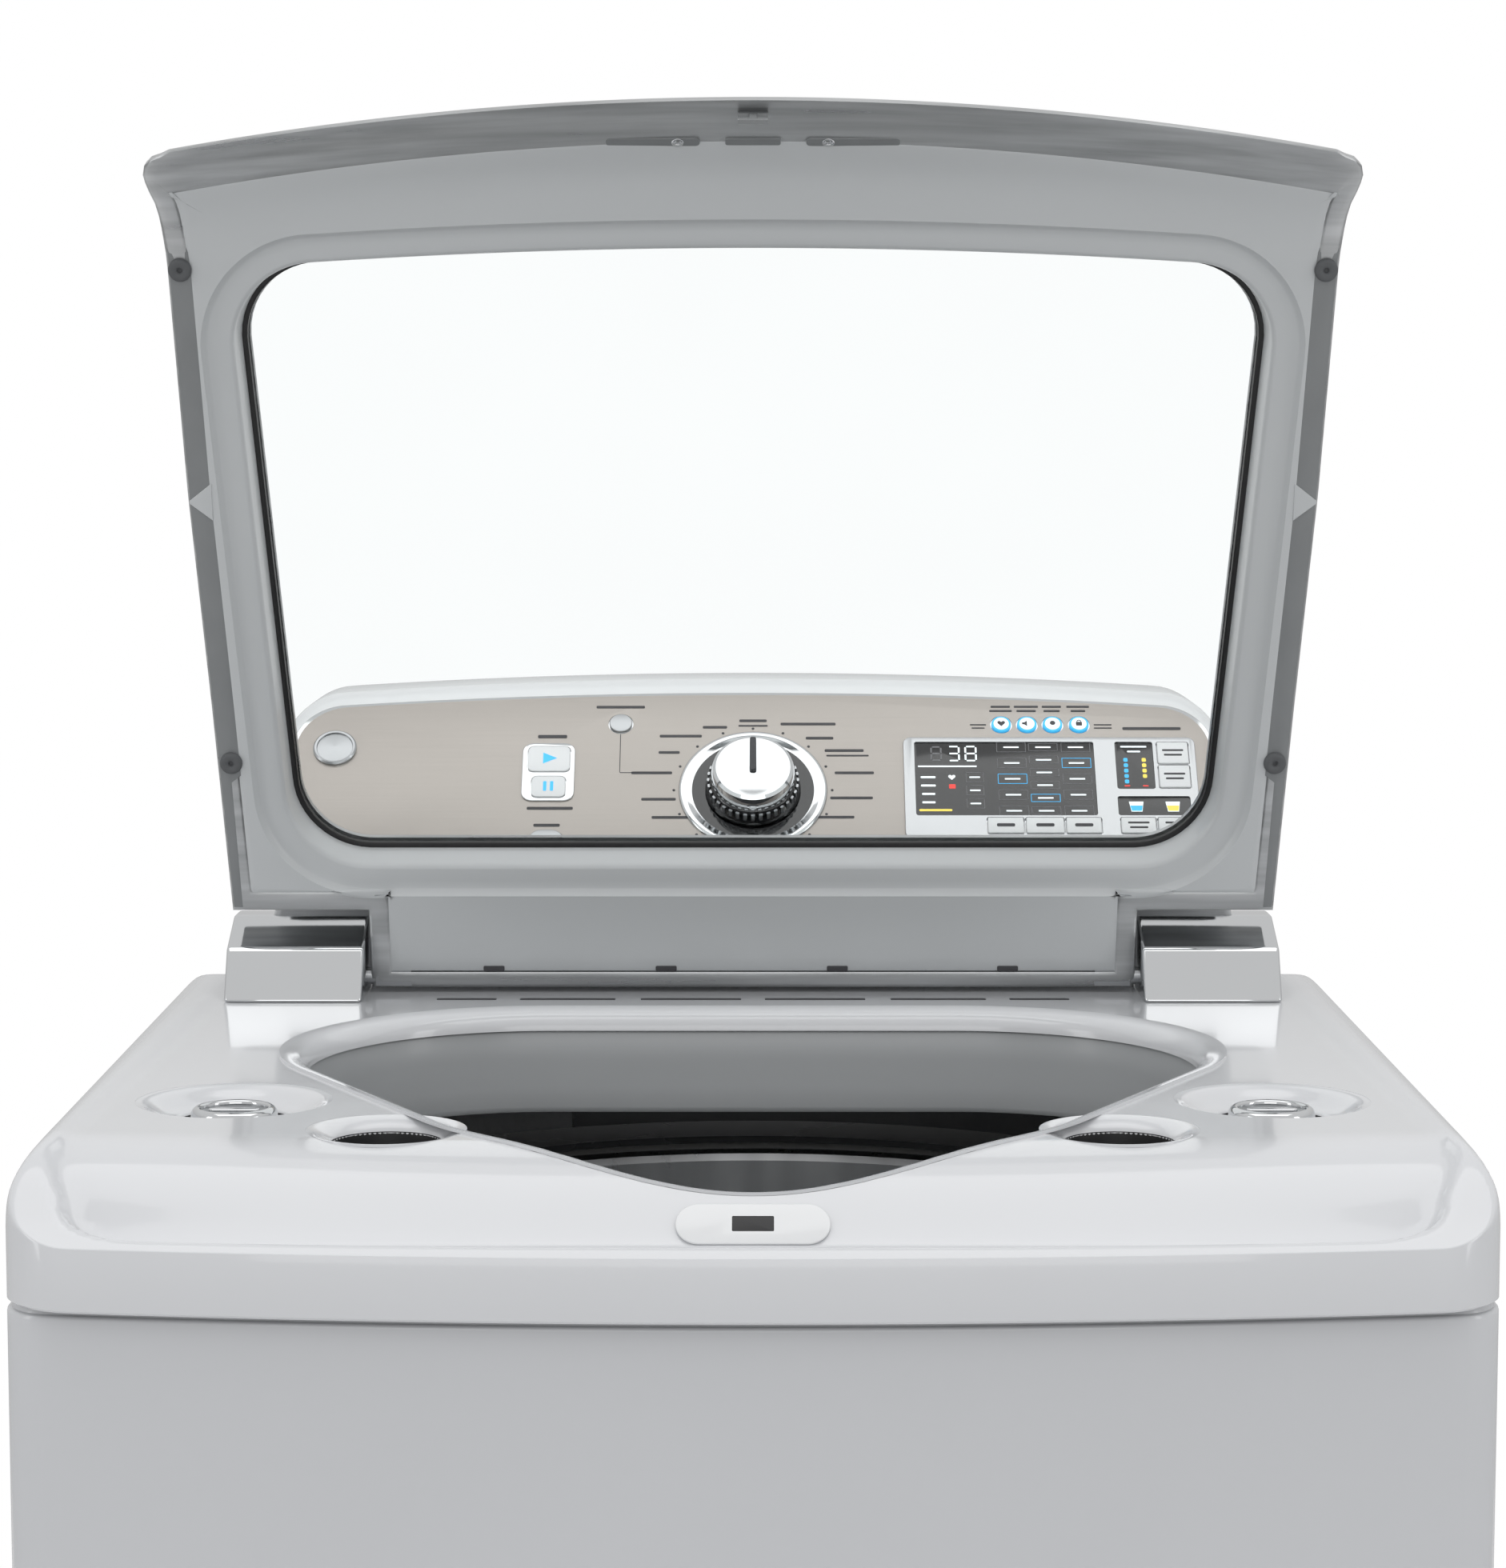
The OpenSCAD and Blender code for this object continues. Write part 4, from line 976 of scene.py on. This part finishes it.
# %% The control panel
def panel_outline(g):
    """The panel's outline on the face, g inside it."""
    half = 281.0 - g
    r, low_r = 33.0, 14
    x = np.linspace(half - r, -(half - r), 41)
    y = -(7.5 + g + crown(x) * 1.25)
    right = arc(half - r, y[0] - r, r, 0, 87, 12)[:-1]
    left = right[::-1] * [-1, 1]
    low = -(137.0 - g)
    return np.concatenate([arc(half - low_r, low + low_r, low_r, 270, 360, 6), right,
                           np.column_stack([x, y]), left,
                           arc(-half + low_r, low + low_r, low_r, 180, 270, 6)])


def on_face(obj, body, material, angle=40, replaces=()):
    """Carries a flat piece up onto the sloped face and finishes it."""
    place(obj, FACE)
    return done(obj, body, material, replaces, angle)


rim = slab("panel_rim", panel_outline(-2.0), 0.02, 0.5, 0.2)
on_face(rim, "cabinet", chrome)
panel = slab("control_panel", panel_outline(0), 0.1, 0.9, 0.3)
# each box: across from, down from, across to, down to, corner radius
BOXES = {"start": (-137.8, 49.9, -112.2, 69.4, 3.5), "pause": (-135.1, 73.2, -114.5, 89.3, 3.5),
         "power": (-135.7, 114.5, -114.4, 131, 8), "steam": (-88.6, 23.9, -74.6, 37.9, 6.9),
         "settings": (147.3, 25.6, 159.3, 37.6, 5.9), "signal": (163.2, 25.6, 175.2, 37.6, 5.9),
         "light": (179, 25.6, 191, 37.6, 5.9), "child_lock": (195.3, 25.6, 207.3, 37.6, 5.9)}
TRIM_BOXES = {"soil": (142.2, 105.5, 163.9, 117.4, 1), "temp": (165.5, 105.5, 188.2, 117.4, 1),
              "spin": (189.8, 105.5, 210.9, 117.4, 1),
              "detergent_tank": (248.2, 47, 267, 63.6, 1),
              "softener_tank": (248.2, 65.2, 267, 82.3, 1),
              "detergent_cup": (223, 105.5, 243.9, 117.4, 1),
              "softener_cup": (245.5, 105.5, 266.6, 117.4, 1)}


def punch(obj, boxes, gap=0.8):
    """Cuts a hole for each box, gap wider all round."""
    for x0, t0, x1, t1, r in boxes:
        hole = round_rect(x0 - gap, -t1 - gap, x1 + gap, -t0 + gap, r + gap)
        cut(obj, hole, -30, 30)


punch(panel, BOXES.values())
cut(panel, round_rect(138, -119, 214, -103.5, 2), -30, 30)
cut(panel, round_rect(219.5, -119, 269.5, -103.5, 2), -30, 30)
cut(panel, round_rect(246.5, -84, 269, -45.5, 2), -30, 30)
cut(panel, arc(0, -83, 7, 0, 360, 32)[:-1], -30, 30)
on_face(panel, "cabinet", champagne, replaces=["console_fascia"])
print("control panel", len(panel.data.polygons))

# %% [markdown]
# ## The selector
# The selector is three turned parts: a bright dish let into the panel, a dark skirt with grip
# ribs, and a bright cap with a raised pointer bar. Turned parts are swept from their section.

# %% Selector dish, skirt and cap
KN = (0.0, -83.0)
dish = turned("selector_dish", [(45.4, 0.4), (45.4, 1.6), (44.6, 2.6), (43.0, 3.0), (41.0, 2.6),
                                (38.6, 1.6), (36.0, 1.25), (31.0, 1.15), (31.0, 0.4),
                                (45.4, 0.4)], *KN, 96)
on_face(dish, "cabinet", chrome, replaces=["knob_bezel"])
well = turned("selector_well", [(37.6, 1.4), (34.0, 1.65), (30.5, 1.7), (8.0, 1.7), (8.0, 1.0),
                                (37.6, 1.0), (37.6, 1.4)], *KN, 96)
on_face(well, "cabinet", window_black)
skirt_ring = turned("selector_skirt", [(3.2, 2.4), (28.6, 2.4), (29.2, 3.0), (28.6, 5.4),
                                       (27.0, 8.0), (26.2, 12.0), (25.0, 13.0), (3.2, 13.0),
                                       (3.2, 2.4)], *KN, 96)
on_face(skirt_ring, "selector_knob", window_black, replaces=["selector_knob"])
cap = turned("selector_cap", [(24.6, 12.6), (25.4, 13.2), (25.6, 15.0), (25.3, 20.0),
                              (24.5, 22.6), (22.6, 23.8), (19.0, 23.4), (12.0, 22.4),
                              (0.01, 22.0), (0.01, 12.6), (24.6, 12.6)], *KN, 96)
on_face(cap, "selector_knob", chrome, 30)
bar = slab("selector_pointer", round_rect(-2.0, -83 - 2.0, 2.0, -83 + 23.6, 1.4), 21.6, 24.0,
           0.6)
on_face(bar, "selector_knob", mark_dark)
ribs = []
for k in range(36):
    a = math.radians(10 * k)
    rib = slab("rib", round_rect(-0.7, -1.2, 0.7, 1.2, 0.5, 2), 3.4, 11.5)
    place(rib, Matrix.Translation((KN[0] * mm + 27.3 * mm * math.cos(a),
                                   KN[1] * mm + 27.3 * mm * math.sin(a), 0))
          @ Matrix.Rotation(a, 4, "Z"))
    ribs.append(rib)
ribs = join("selector_ribs", *ribs)
on_face(ribs, "selector_knob", satin_metal)
spot = turned("selector_spot", [(8.0, 0.8), (8.0, 2.2), (6.8, 3.3), (3.8, 4.1), (0.01, 4.3),
                                (0.01, 0.8), (8.0, 0.8)], 0, -125, 40)
on_face(spot, "cabinet", chrome)

# %% [markdown]
# Around the selector sits a ring of dots and a word for each cycle. Words are left out here:
# each one is a short plain bar of about the same length, so the panel keeps its rhythm without
# saying anything.

# %% Dots and plain bars round the selector


def bars(name, items, material, z0=0.9, z1=1.06, body="cabinet"):
    """Several thin rounded bars [x, t, width, height] joined into one piece."""
    made = []
    for x, t, wide, high in items:
        made.append(slab("bar", round_rect(x - wide / 2, -t - high / 2, x + wide / 2,
                                           -t + high / 2, min(wide, high) * 0.3, 2), z0, z1))
    piece = join(name, *made)
    return on_face(piece, body, material)


dots = []
for k in range(-6, 7):
    a = math.radians(90 + 22.5 * k)
    dots.append(slab("dot", arc(48.3 * math.cos(a), -83 + 48.3 * math.sin(a), 0.9, 0, 360,
                                10)[:-1], 0.9, 1.06))
on_face(join("selector_dots", *dots), "cabinet", mark_dark)
cycle = [(0, 28.4, 17, 2.0), (0, 32.4, 18, 1.2), (-23.5, 33.6, 15, 2.0), (-44.5, 40.6, 26, 2.0),
         (-51.5, 53.5, 13, 2.0), (-62, 69.5, 25, 2.0), (-57.5, 90, 21, 2.0),
         (-49, 104, 25, 2.0), (34, 31, 34, 2.0), (41, 42.2, 17, 2.0), (56, 52, 24, 2.0),
         (58, 56, 26, 1.2), (62, 69.5, 24, 2.0), (60, 89, 26, 2.0), (48, 103.8, 27, 2.0)]
bars("cycle_marks", cycle, mark_dark)
side_marks = [(-123.5, 41, 18, 2.6), (-123.5, 97, 28, 2.2), (-125, 110, 16, 2.2),
              (-82, 17.5, 30, 2.0), (153.3, 17.2, 12, 1.5), (153.3, 20.6, 14, 1.5),
              (169.2, 17.2, 15, 1.5), (169.2, 20.6, 12, 1.5), (185, 17.2, 12, 1.5),
              (185, 20.6, 10, 1.5), (201.3, 17.2, 14, 1.5), (201.3, 20.6, 9, 1.5),
              (246, 34.6, 36, 2.2), (139, 31.6, 10, 0.9), (139, 34.2, 8, 0.9),
              (216, 31.6, 11, 0.9), (216, 34.2, 11, 0.9)]
bars("panel_marks", side_marks, mark_dark)
leader = [(-81.6, 54, 0.45, 30), (-68, 69.3, 27, 0.45)]
bars("steam_leader", leader, mark_dark)

# %% Plain medallion, screws and the start and pause surround
badge = turned("plain_medallion", [(13.3, 0.8), (13.3, 2.4), (12.4, 3.2), (11.2, 3.0),
                                   (10.8, 2.2), (8.0, 2.6), (0.01, 3.2), (0.01, 0.8),
                                   (13.3, 0.8)], -257, -50.6, 64)
on_face(badge, "cabinet", satin_metal, 30)
frame_piece = slab("start_surround", round_rect(-141.4, -91.8, -109.1, -46.8, 6.5), 0.8, 2.0,
                   0.5)
punch(frame_piece, [BOXES["start"], BOXES["pause"]], 0.6)
on_face(frame_piece, "cabinet", chrome)
print("panel marks done")


# %% [markdown]
# Push buttons stand a little above the panel. Each replaces its engineering part, rides on its
# own body and keeps its sign: the usual triangle and two bars, a heart, a horn, a lamp and a
# lock, all drawn from simple outlines.

# %% Push buttons
def button(name, box, material, top):
    """A push button that fills its box and stands top above the face."""
    x0, t0, x1, t1, r = box
    piece = slab(name + "_cap", round_rect(x0, -t1, x1, -t0, r, 8), -2.2, top, 0.55)
    on_face(piece, name + "_button", material, replaces=[name + "_button"])


for name, look in (("start", button_white), ("pause", button_white), ("power", satin_metal)):
    button(name, BOXES[name], look, 2.8)
button("steam", BOXES["steam"], satin_metal, 2.3)
for name in ("settings", "signal", "light", "child_lock"):
    button(name, BOXES[name], glow_blue, 2.0)
    x0, t0, x1, t1, r = BOXES[name]
    cx, ct = (x0 + x1) / 2, (t0 + t1) / 2
    face = slab(name + "_face", arc(cx, -ct, 4.7, 0, 360, 32)[:-1], 1.9, 2.35, 0.2)
    on_face(face, name + "_button", glow_white)
for name in ("soil", "temp", "spin", "detergent_tank", "softener_tank", "detergent_cup",
             "softener_cup"):
    button(name, TRIM_BOXES[name], button_white, 3.2)
    x0, t0, x1, t1, r = TRIM_BOXES[name]
    cx, ct = (x0 + x1) / 2, (t0 + t1) / 2
    if name in ("soil", "temp", "spin"):
        items = [(cx, ct, 11, 2.4)]
    else:
        items = [(cx, ct - 1.8, 13, 1.4), (cx, ct + 1.8, 11, 1.4)]
    bars(name + "_mark", items, mark_dark, 3.15, 3.3, name + "_button")

# %% Signs on the buttons
play = slab("play_sign", np.array([[-128.6, -63.6], [-120.2, -59.4], [-128.6, -55.2]]), 2.75,
            2.95)
on_face(play, "start_button", glow_blue)
bars("pause_sign", [(-127.0, 81.2, 2.0, 7.4), (-122.8, 81.2, 2.0, 7.4)], glow_blue, 2.75, 2.95,
     "pause_button")
heart = np.array([[0, -2.3], [2.3, 0.1], [2.4, 1.2], [1.6, 1.9], [0.7, 1.8], [0, 1.0],
                  [-0.7, 1.8], [-1.6, 1.9], [-2.4, 1.2], [-2.3, 0.1]])
on_face(slab("settings_sign", heart + [153.3, -31.6], 2.3, 2.45), "settings_button", mark_dark)
horn = np.array([[-2.4, -0.8], [-1.1, -0.8], [0.6, -2.2], [0.6, 2.2], [-1.1, 0.8], [-2.4, 0.8]])
on_face(slab("signal_sign", horn + [168.6, -31.6], 2.3, 2.45), "signal_button", mark_dark)
on_face(slab("light_sign", arc(185, -31.2, 1.7, 0, 360, 20)[:-1], 2.3, 2.45), "light_button",
        mark_dark)
on_face(slab("lock_sign", round_rect(199.4, -33.4, 203.2, -30.4, 0.4, 2), 2.3, 2.45),
        "child_lock_button", mark_dark)
shackle = slab("lock_shackle", np.concatenate([arc(201.3, -30.2, 1.5, 0, 180, 10),
                                               arc(201.3, -30.2, 0.9, 180, 0, 10)]), 2.3, 2.45)
on_face(shackle, "child_lock_button", mark_dark)
print("buttons done")

# %% [markdown]
# ## The display
# Behind dark windows the machine shows lit signs: a two-digit number in seven segments, rows
# of small framed cells with the chosen ones in blue, and level bars for the tanks. Digits are
# generic, so they stay; all words become plain bars.

# %% Display frame and dark windows
plate = slab("display_frame", round_rect(92.2, -121.2, 271.6, -42.4, 5), 0.85, 2.4, 0.5)
WINDOWS = [(99, 46.2, 209.3, 103.5, 1.6), (222.2, 46.2, 245.5, 83.1, 1.6),
           (221.8, 88.7, 266.1, 103.5, 1.6)]
punch(plate, WINDOWS, 0.0)
punch(plate, TRIM_BOXES.values(), 0.7)
on_face(plate, "cabinet", trim_silver, replaces=["display_trim"])
panes = [slab("pane", round_rect(x0, -t1, x1, -t0, r), 0.3, 1.7, 0.15)
         for x0, t0, x1, t1, r in WINDOWS]
on_face(join("display_panes", *panes), "cabinet", window_black,
        replaces=["display_windows"])


def segments(x, t, w, h, on):
    """Seven-segment digit: a list of bars for the lit segments."""
    th = 1.1
    spots = {"a": (x, t - h / 2, w - 1.2, th), "g": (x, t, w - 1.2, th),
             "d": (x, t + h / 2, w - 1.2, th), "f": (x - w / 2, t - h / 4, th, h / 2 - 1.2),
             "b": (x + w / 2, t - h / 4, th, h / 2 - 1.2),
             "e": (x - w / 2, t + h / 4, th, h / 2 - 1.2),
             "c": (x + w / 2, t + h / 4, th, h / 2 - 1.2)}
    return [spots[s] for s in on]


lit = segments(123.2, 55.0, 6.4, 11, "abgcd") + segments(133.6, 55.0, 6.4, 11, "abcdefg")
bars("display_digits", lit, glow_white, 1.7, 1.8)
dim = segments(112.4, 55.0, 6.0, 10.4, "abcdefg")
grey_cells = finish("display_grey", (0.16, 0.16, 0.17), 0.4, vary=0.1, grain=300, bump=0.0)
bars("display_dim_digit", dim, grey_cells, 1.7, 1.76)
words = [(119, 65.0, 36, 1.1), (107, 73.5, 9, 1.5), (107, 80, 9, 1.5), (107, 86.5, 8, 1.5),
         (107, 93, 8, 1.5)]
bars("display_words", words, glow_white, 1.7, 1.78)
bars("display_yellow", [(111, 99, 20, 1.6)], glow_yellow, 1.7, 1.78)
on_face(slab("display_heart", heart * 0.9 + [121.5, -73.5], 1.7, 1.8), "cabinet", glow_white)
on_face(slab("display_lock", round_rect(119.6, -82.4, 123.6, -79, 0.4, 2), 1.7, 1.8), "cabinet",
        glow_red)


def cell(x, t, w, h, line=0.35):
    """Four thin bars round a small box."""
    return [(x, t - h / 2, w, line), (x, t + h / 2, w, line), (x - w / 2, t, line, h),
            (x + w / 2, t, line, h)]


plain, chosen, small = [], [], []
for x, count, pick in ((158.6, 5, 2), (178.2, 6, 4), (198.2, 5, 1)):
    for k in range(count):
        t = 50.0 + k * (49.5 / (count - 1))
        box = cell(x, t, 17.6, 50 / count - 2.6)
        (chosen if k == pick else plain).extend(box)
        small.append((x, t, 9.5, 1.1))
for k in range(3):
    plain.extend(cell(135.5, 73.5 + 10.2 * k, 10.5, 7.4))
    small.append((135.5, 73.5 + 10.2 * k, 6.5, 1.1))
bars("display_cells", plain, grey_cells, 1.7, 1.78)
bars("display_chosen", chosen, glow_blue, 1.7, 1.8)
bars("display_cell_words", small, glow_white, 1.7, 1.76)
levels = [(228.4, 60 + 4.2 * k, 2.6, 3.0) for k in range(5)]
bars("tank_level_left", levels, glow_blue, 1.7, 1.8)
levels = [(239.6, 60 + 4.2 * k, 2.6, 3.0) for k in range(4)]
bars("tank_level_right", levels, glow_yellow, 1.7, 1.8)
bars("tank_level_low", [(228.4, 80.2, 3.4, 1.0), (239.6, 80.2, 3.4, 1.0)], glow_red, 1.7, 1.8)
bars("tank_words", [(233.8, 49.6, 16, 1.2), (233.8, 53.4, 8, 1.2)], glow_white, 1.7, 1.78)


def jug(cx, ct, material, name):
    """A small jug sign and what fills it."""
    outline = np.array([[-4.6, 3.6], [4.2, 3.6], [3.2, -4.0], [-3.4, -4.0]])
    on_face(slab(name, outline + [cx, -ct], 1.7, 1.8), "cabinet", glow_white)
    fill = np.array([[-4.0, 0.6], [3.6, 0.6], [2.9, -3.5], [-3.1, -3.5]])
    on_face(slab(name + "_fill", fill + [cx, -ct], 1.79, 1.86), "cabinet", material)


jug(233.2, 96.1, glow_blue, "detergent_jug")
jug(255.4, 96.1, glow_yellow, "softener_jug")
print("display done")

# %% [markdown]
# ## The deck's small parts
# The latch plate is a long rounded plate on the slope with a dark slot, and a row of short
# vents, drawn as flat plates of painted shade, runs along the back of the deck in front of the
# hinge.

# %% Latch plate
LOCK = Matrix.Translation((0, -0.351, 0.912)) @ Matrix.Rotation(math.radians(45), 4, "X")
latch = slab("latch_plate", round_rect(-36, -11, 36, 11, 10.9, 10), 0.0, 1.3, 0.6)
cut(latch, round_rect(-9.75, -4.2, 9.75, 4.2, 0.6), -30, 30)
place(latch, LOCK)
done(latch, "cabinet", console_white, ["lock_plate"], 40)
slot_dark = slab("latch_slot", round_rect(-10.4, -4.9, 10.4, 4.9, 0.8), 0.1, 1.1, 0.2)
place(slot_dark, LOCK)
done(slot_dark, "cabinet", black_plastic, [], 40)

# %% Vents along the back of the deck
vents = []
# Each vent is a thin dark plate lying on the deck, not an opening: painted shade standing in for
# the dark inside of the vent.
for x0, x1 in ((-186, -151), (-137, -81), (-66, -7), (7, 66), (81, 137), (151, 186)):
    vents.append(slab("vent", round_rect(x0, 143.0, x1, 149.0, 1.1, 3), 939.6, 940.25, 0.1))
vents = join("deck_vents", *vents)
done(vents, "cabinet", mark_dark, [], 40)
print("deck parts done")

# %% [markdown]
# ## Finishes for the parts that keep their shape
# The rest of the frame's parts are right as they are. Each gets the finish of the real part:
# zinc-coated sheet, cast alloy, copper windings, brushed steel.

# %% Finishes on the frame's parts
KEEP = {"rear_panel": zinc, "base_frame": zinc, "hinge_brackets": zinc, "hinge_pins": satin_metal,
        "lock_housing": black_plastic, "lock_bolt": satin_metal, "lid_strike": strip_silver,
        "lid_glass": glass, "dispenser_tanks": milk_plastic, "dispenser_cups": black_plastic,
        "control_board": board_green, "inlet_valve": button_white,
        "rear_fittings": black_plastic, "suspension_rods": satin_metal,
        "suspension_springs": satin_metal, "leg_front_left": rubber, "leg_front_right": rubber,
        "leg_rear_left": rubber, "leg_rear_right": rubber, "outer_tub": milk_plastic,
        "tub_ring": band_black, "bearing_housing": cast, "motor_stator": copper,
        "drain_pump": black_plastic, "wash_basket": steel, "balance_ring": steel,
        "wash_plate": milk_plastic, "drive_shaft": satin_metal, "motor_rotor": cast}
for node, look in KEEP.items():
    obj = frame["nodes"][node]
    obj.data.materials.clear()
    obj.data.materials.append(look)
left_over = [n for n, o in frame["nodes"].items() if n not in KEEP and not o.hide_render]
print("kept parts", len(KEEP), "without a finish:", left_over)

# %% [markdown]
# ## Floor, light and camera
# A plain pale floor, a big soft light overhead, two at the sides and a wide one in front are
# what a product studio would use. Glossy white only looks like glossy white when it has large
# bright shapes to reflect, so the lights are wide. The world is a soft gradient for the
# reflections, and plain paper white where it is seen directly or through the glass.

# %% Floor
bpy.ops.mesh.primitive_grid_add(x_subdivisions=8, y_subdivisions=8, size=4, location=(0, 0, 0))
floor = bpy.context.object
floor.name = "floor"
floor_look = finish("floor_pale", (0.86, 0.86, 0.865), 0.6, vary=0.006, grain=40, bump=0.0)
floor.data.materials.append(floor_look)

# %% Lights and world


def lamp(name, where, aim, size_x, size_y, watts):
    """A rectangular soft light that faces a point."""
    data = bpy.data.lights.new(name, "AREA")
    data.shape = "RECTANGLE"
    data.size, data.size_y = size_x, size_y
    data.energy = watts
    obj = bpy.data.objects.new(name, data)
    bpy.context.scene.collection.objects.link(obj)
    obj.location = where
    obj.rotation_euler = (Vector(aim) - Vector(where)).to_track_quat("-Z", "Y").to_euler()


lamp("overhead", (0.0, -0.3, 3.4), (0, 0.0, 0.9), 3.2, 1.5, 17)
lamp("left_wall", (-3.2, -1.4, 1.8), (0, 0, 0.95), 0.8, 2.2, 10)
lamp("right_wall", (3.2, -1.4, 1.8), (0, 0, 0.95), 0.8, 2.2, 10)
lamp("front_fill", (0.0, -4.8, 2.4), (0, 0, 1.0), 3.6, 1.4, 20)
world = bpy.data.worlds.new("studio")
bpy.context.scene.world = world
world.use_nodes = True
tree = world.node_tree
room = tree.nodes["Background"]
direction = tree.nodes.new("ShaderNodeTexCoord")
split = tree.nodes.new("ShaderNodeSeparateXYZ")
level = tree.nodes.new("ShaderNodeMapRange")
level.inputs["From Min"].default_value = -0.35
level.inputs["From Max"].default_value = 0.55
level.inputs["To Min"].default_value = 0.42
level.inputs["To Max"].default_value = 0.80
tree.links.new(direction.outputs["Generated"], split.inputs["Vector"])
tree.links.new(split.outputs["Z"], level.inputs["Value"])
tree.links.new(level.outputs["Result"], room.inputs["Strength"])
room.inputs["Color"].default_value = (1, 1, 1, 1)
paper = tree.nodes.new("ShaderNodeBackground")
paper.inputs["Color"].default_value = (1, 1, 1, 1)
paper.inputs["Strength"].default_value = 1.0
seen = tree.nodes.new("ShaderNodeLightPath")
choose = tree.nodes.new("ShaderNodeMixShader")
either = tree.nodes.new("ShaderNodeMath")
either.operation = "MAXIMUM"
tree.links.new(seen.outputs["Is Camera Ray"], either.inputs[0])
tree.links.new(seen.outputs["Is Transmission Ray"], either.inputs[1])
tree.links.new(either.outputs["Value"], choose.inputs["Fac"])
tree.links.new(room.outputs["Background"], choose.inputs[1])
tree.links.new(paper.outputs["Background"], choose.inputs[2])
tree.links.new(choose.outputs["Shader"], tree.nodes["World Output"].inputs["Surface"])
bpy.context.scene.view_settings.view_transform = "Standard"

# %% Camera
LENS_MM = 93.73
LOOK_DOWN = 5.745
CAMERA_AT = (0.0, -2.137, 1.297)
cam_data = bpy.data.cameras.new("camera")
cam_data.sensor_width = 36.0
cam_data.sensor_fit = "HORIZONTAL"
cam_data.lens = LENS_MM
camera = bpy.data.objects.new("camera", cam_data)
bpy.context.scene.collection.objects.link(camera)
camera.location = CAMERA_AT
camera.rotation_euler = (math.radians(90 - LOOK_DOWN), 0, 0)
bpy.context.scene.camera = camera

# %% [markdown]
# The last step prints each piece made with its number of faces.

# %% Finish
for name, faces in sorted(MADE.items()):
    print(name, faces)
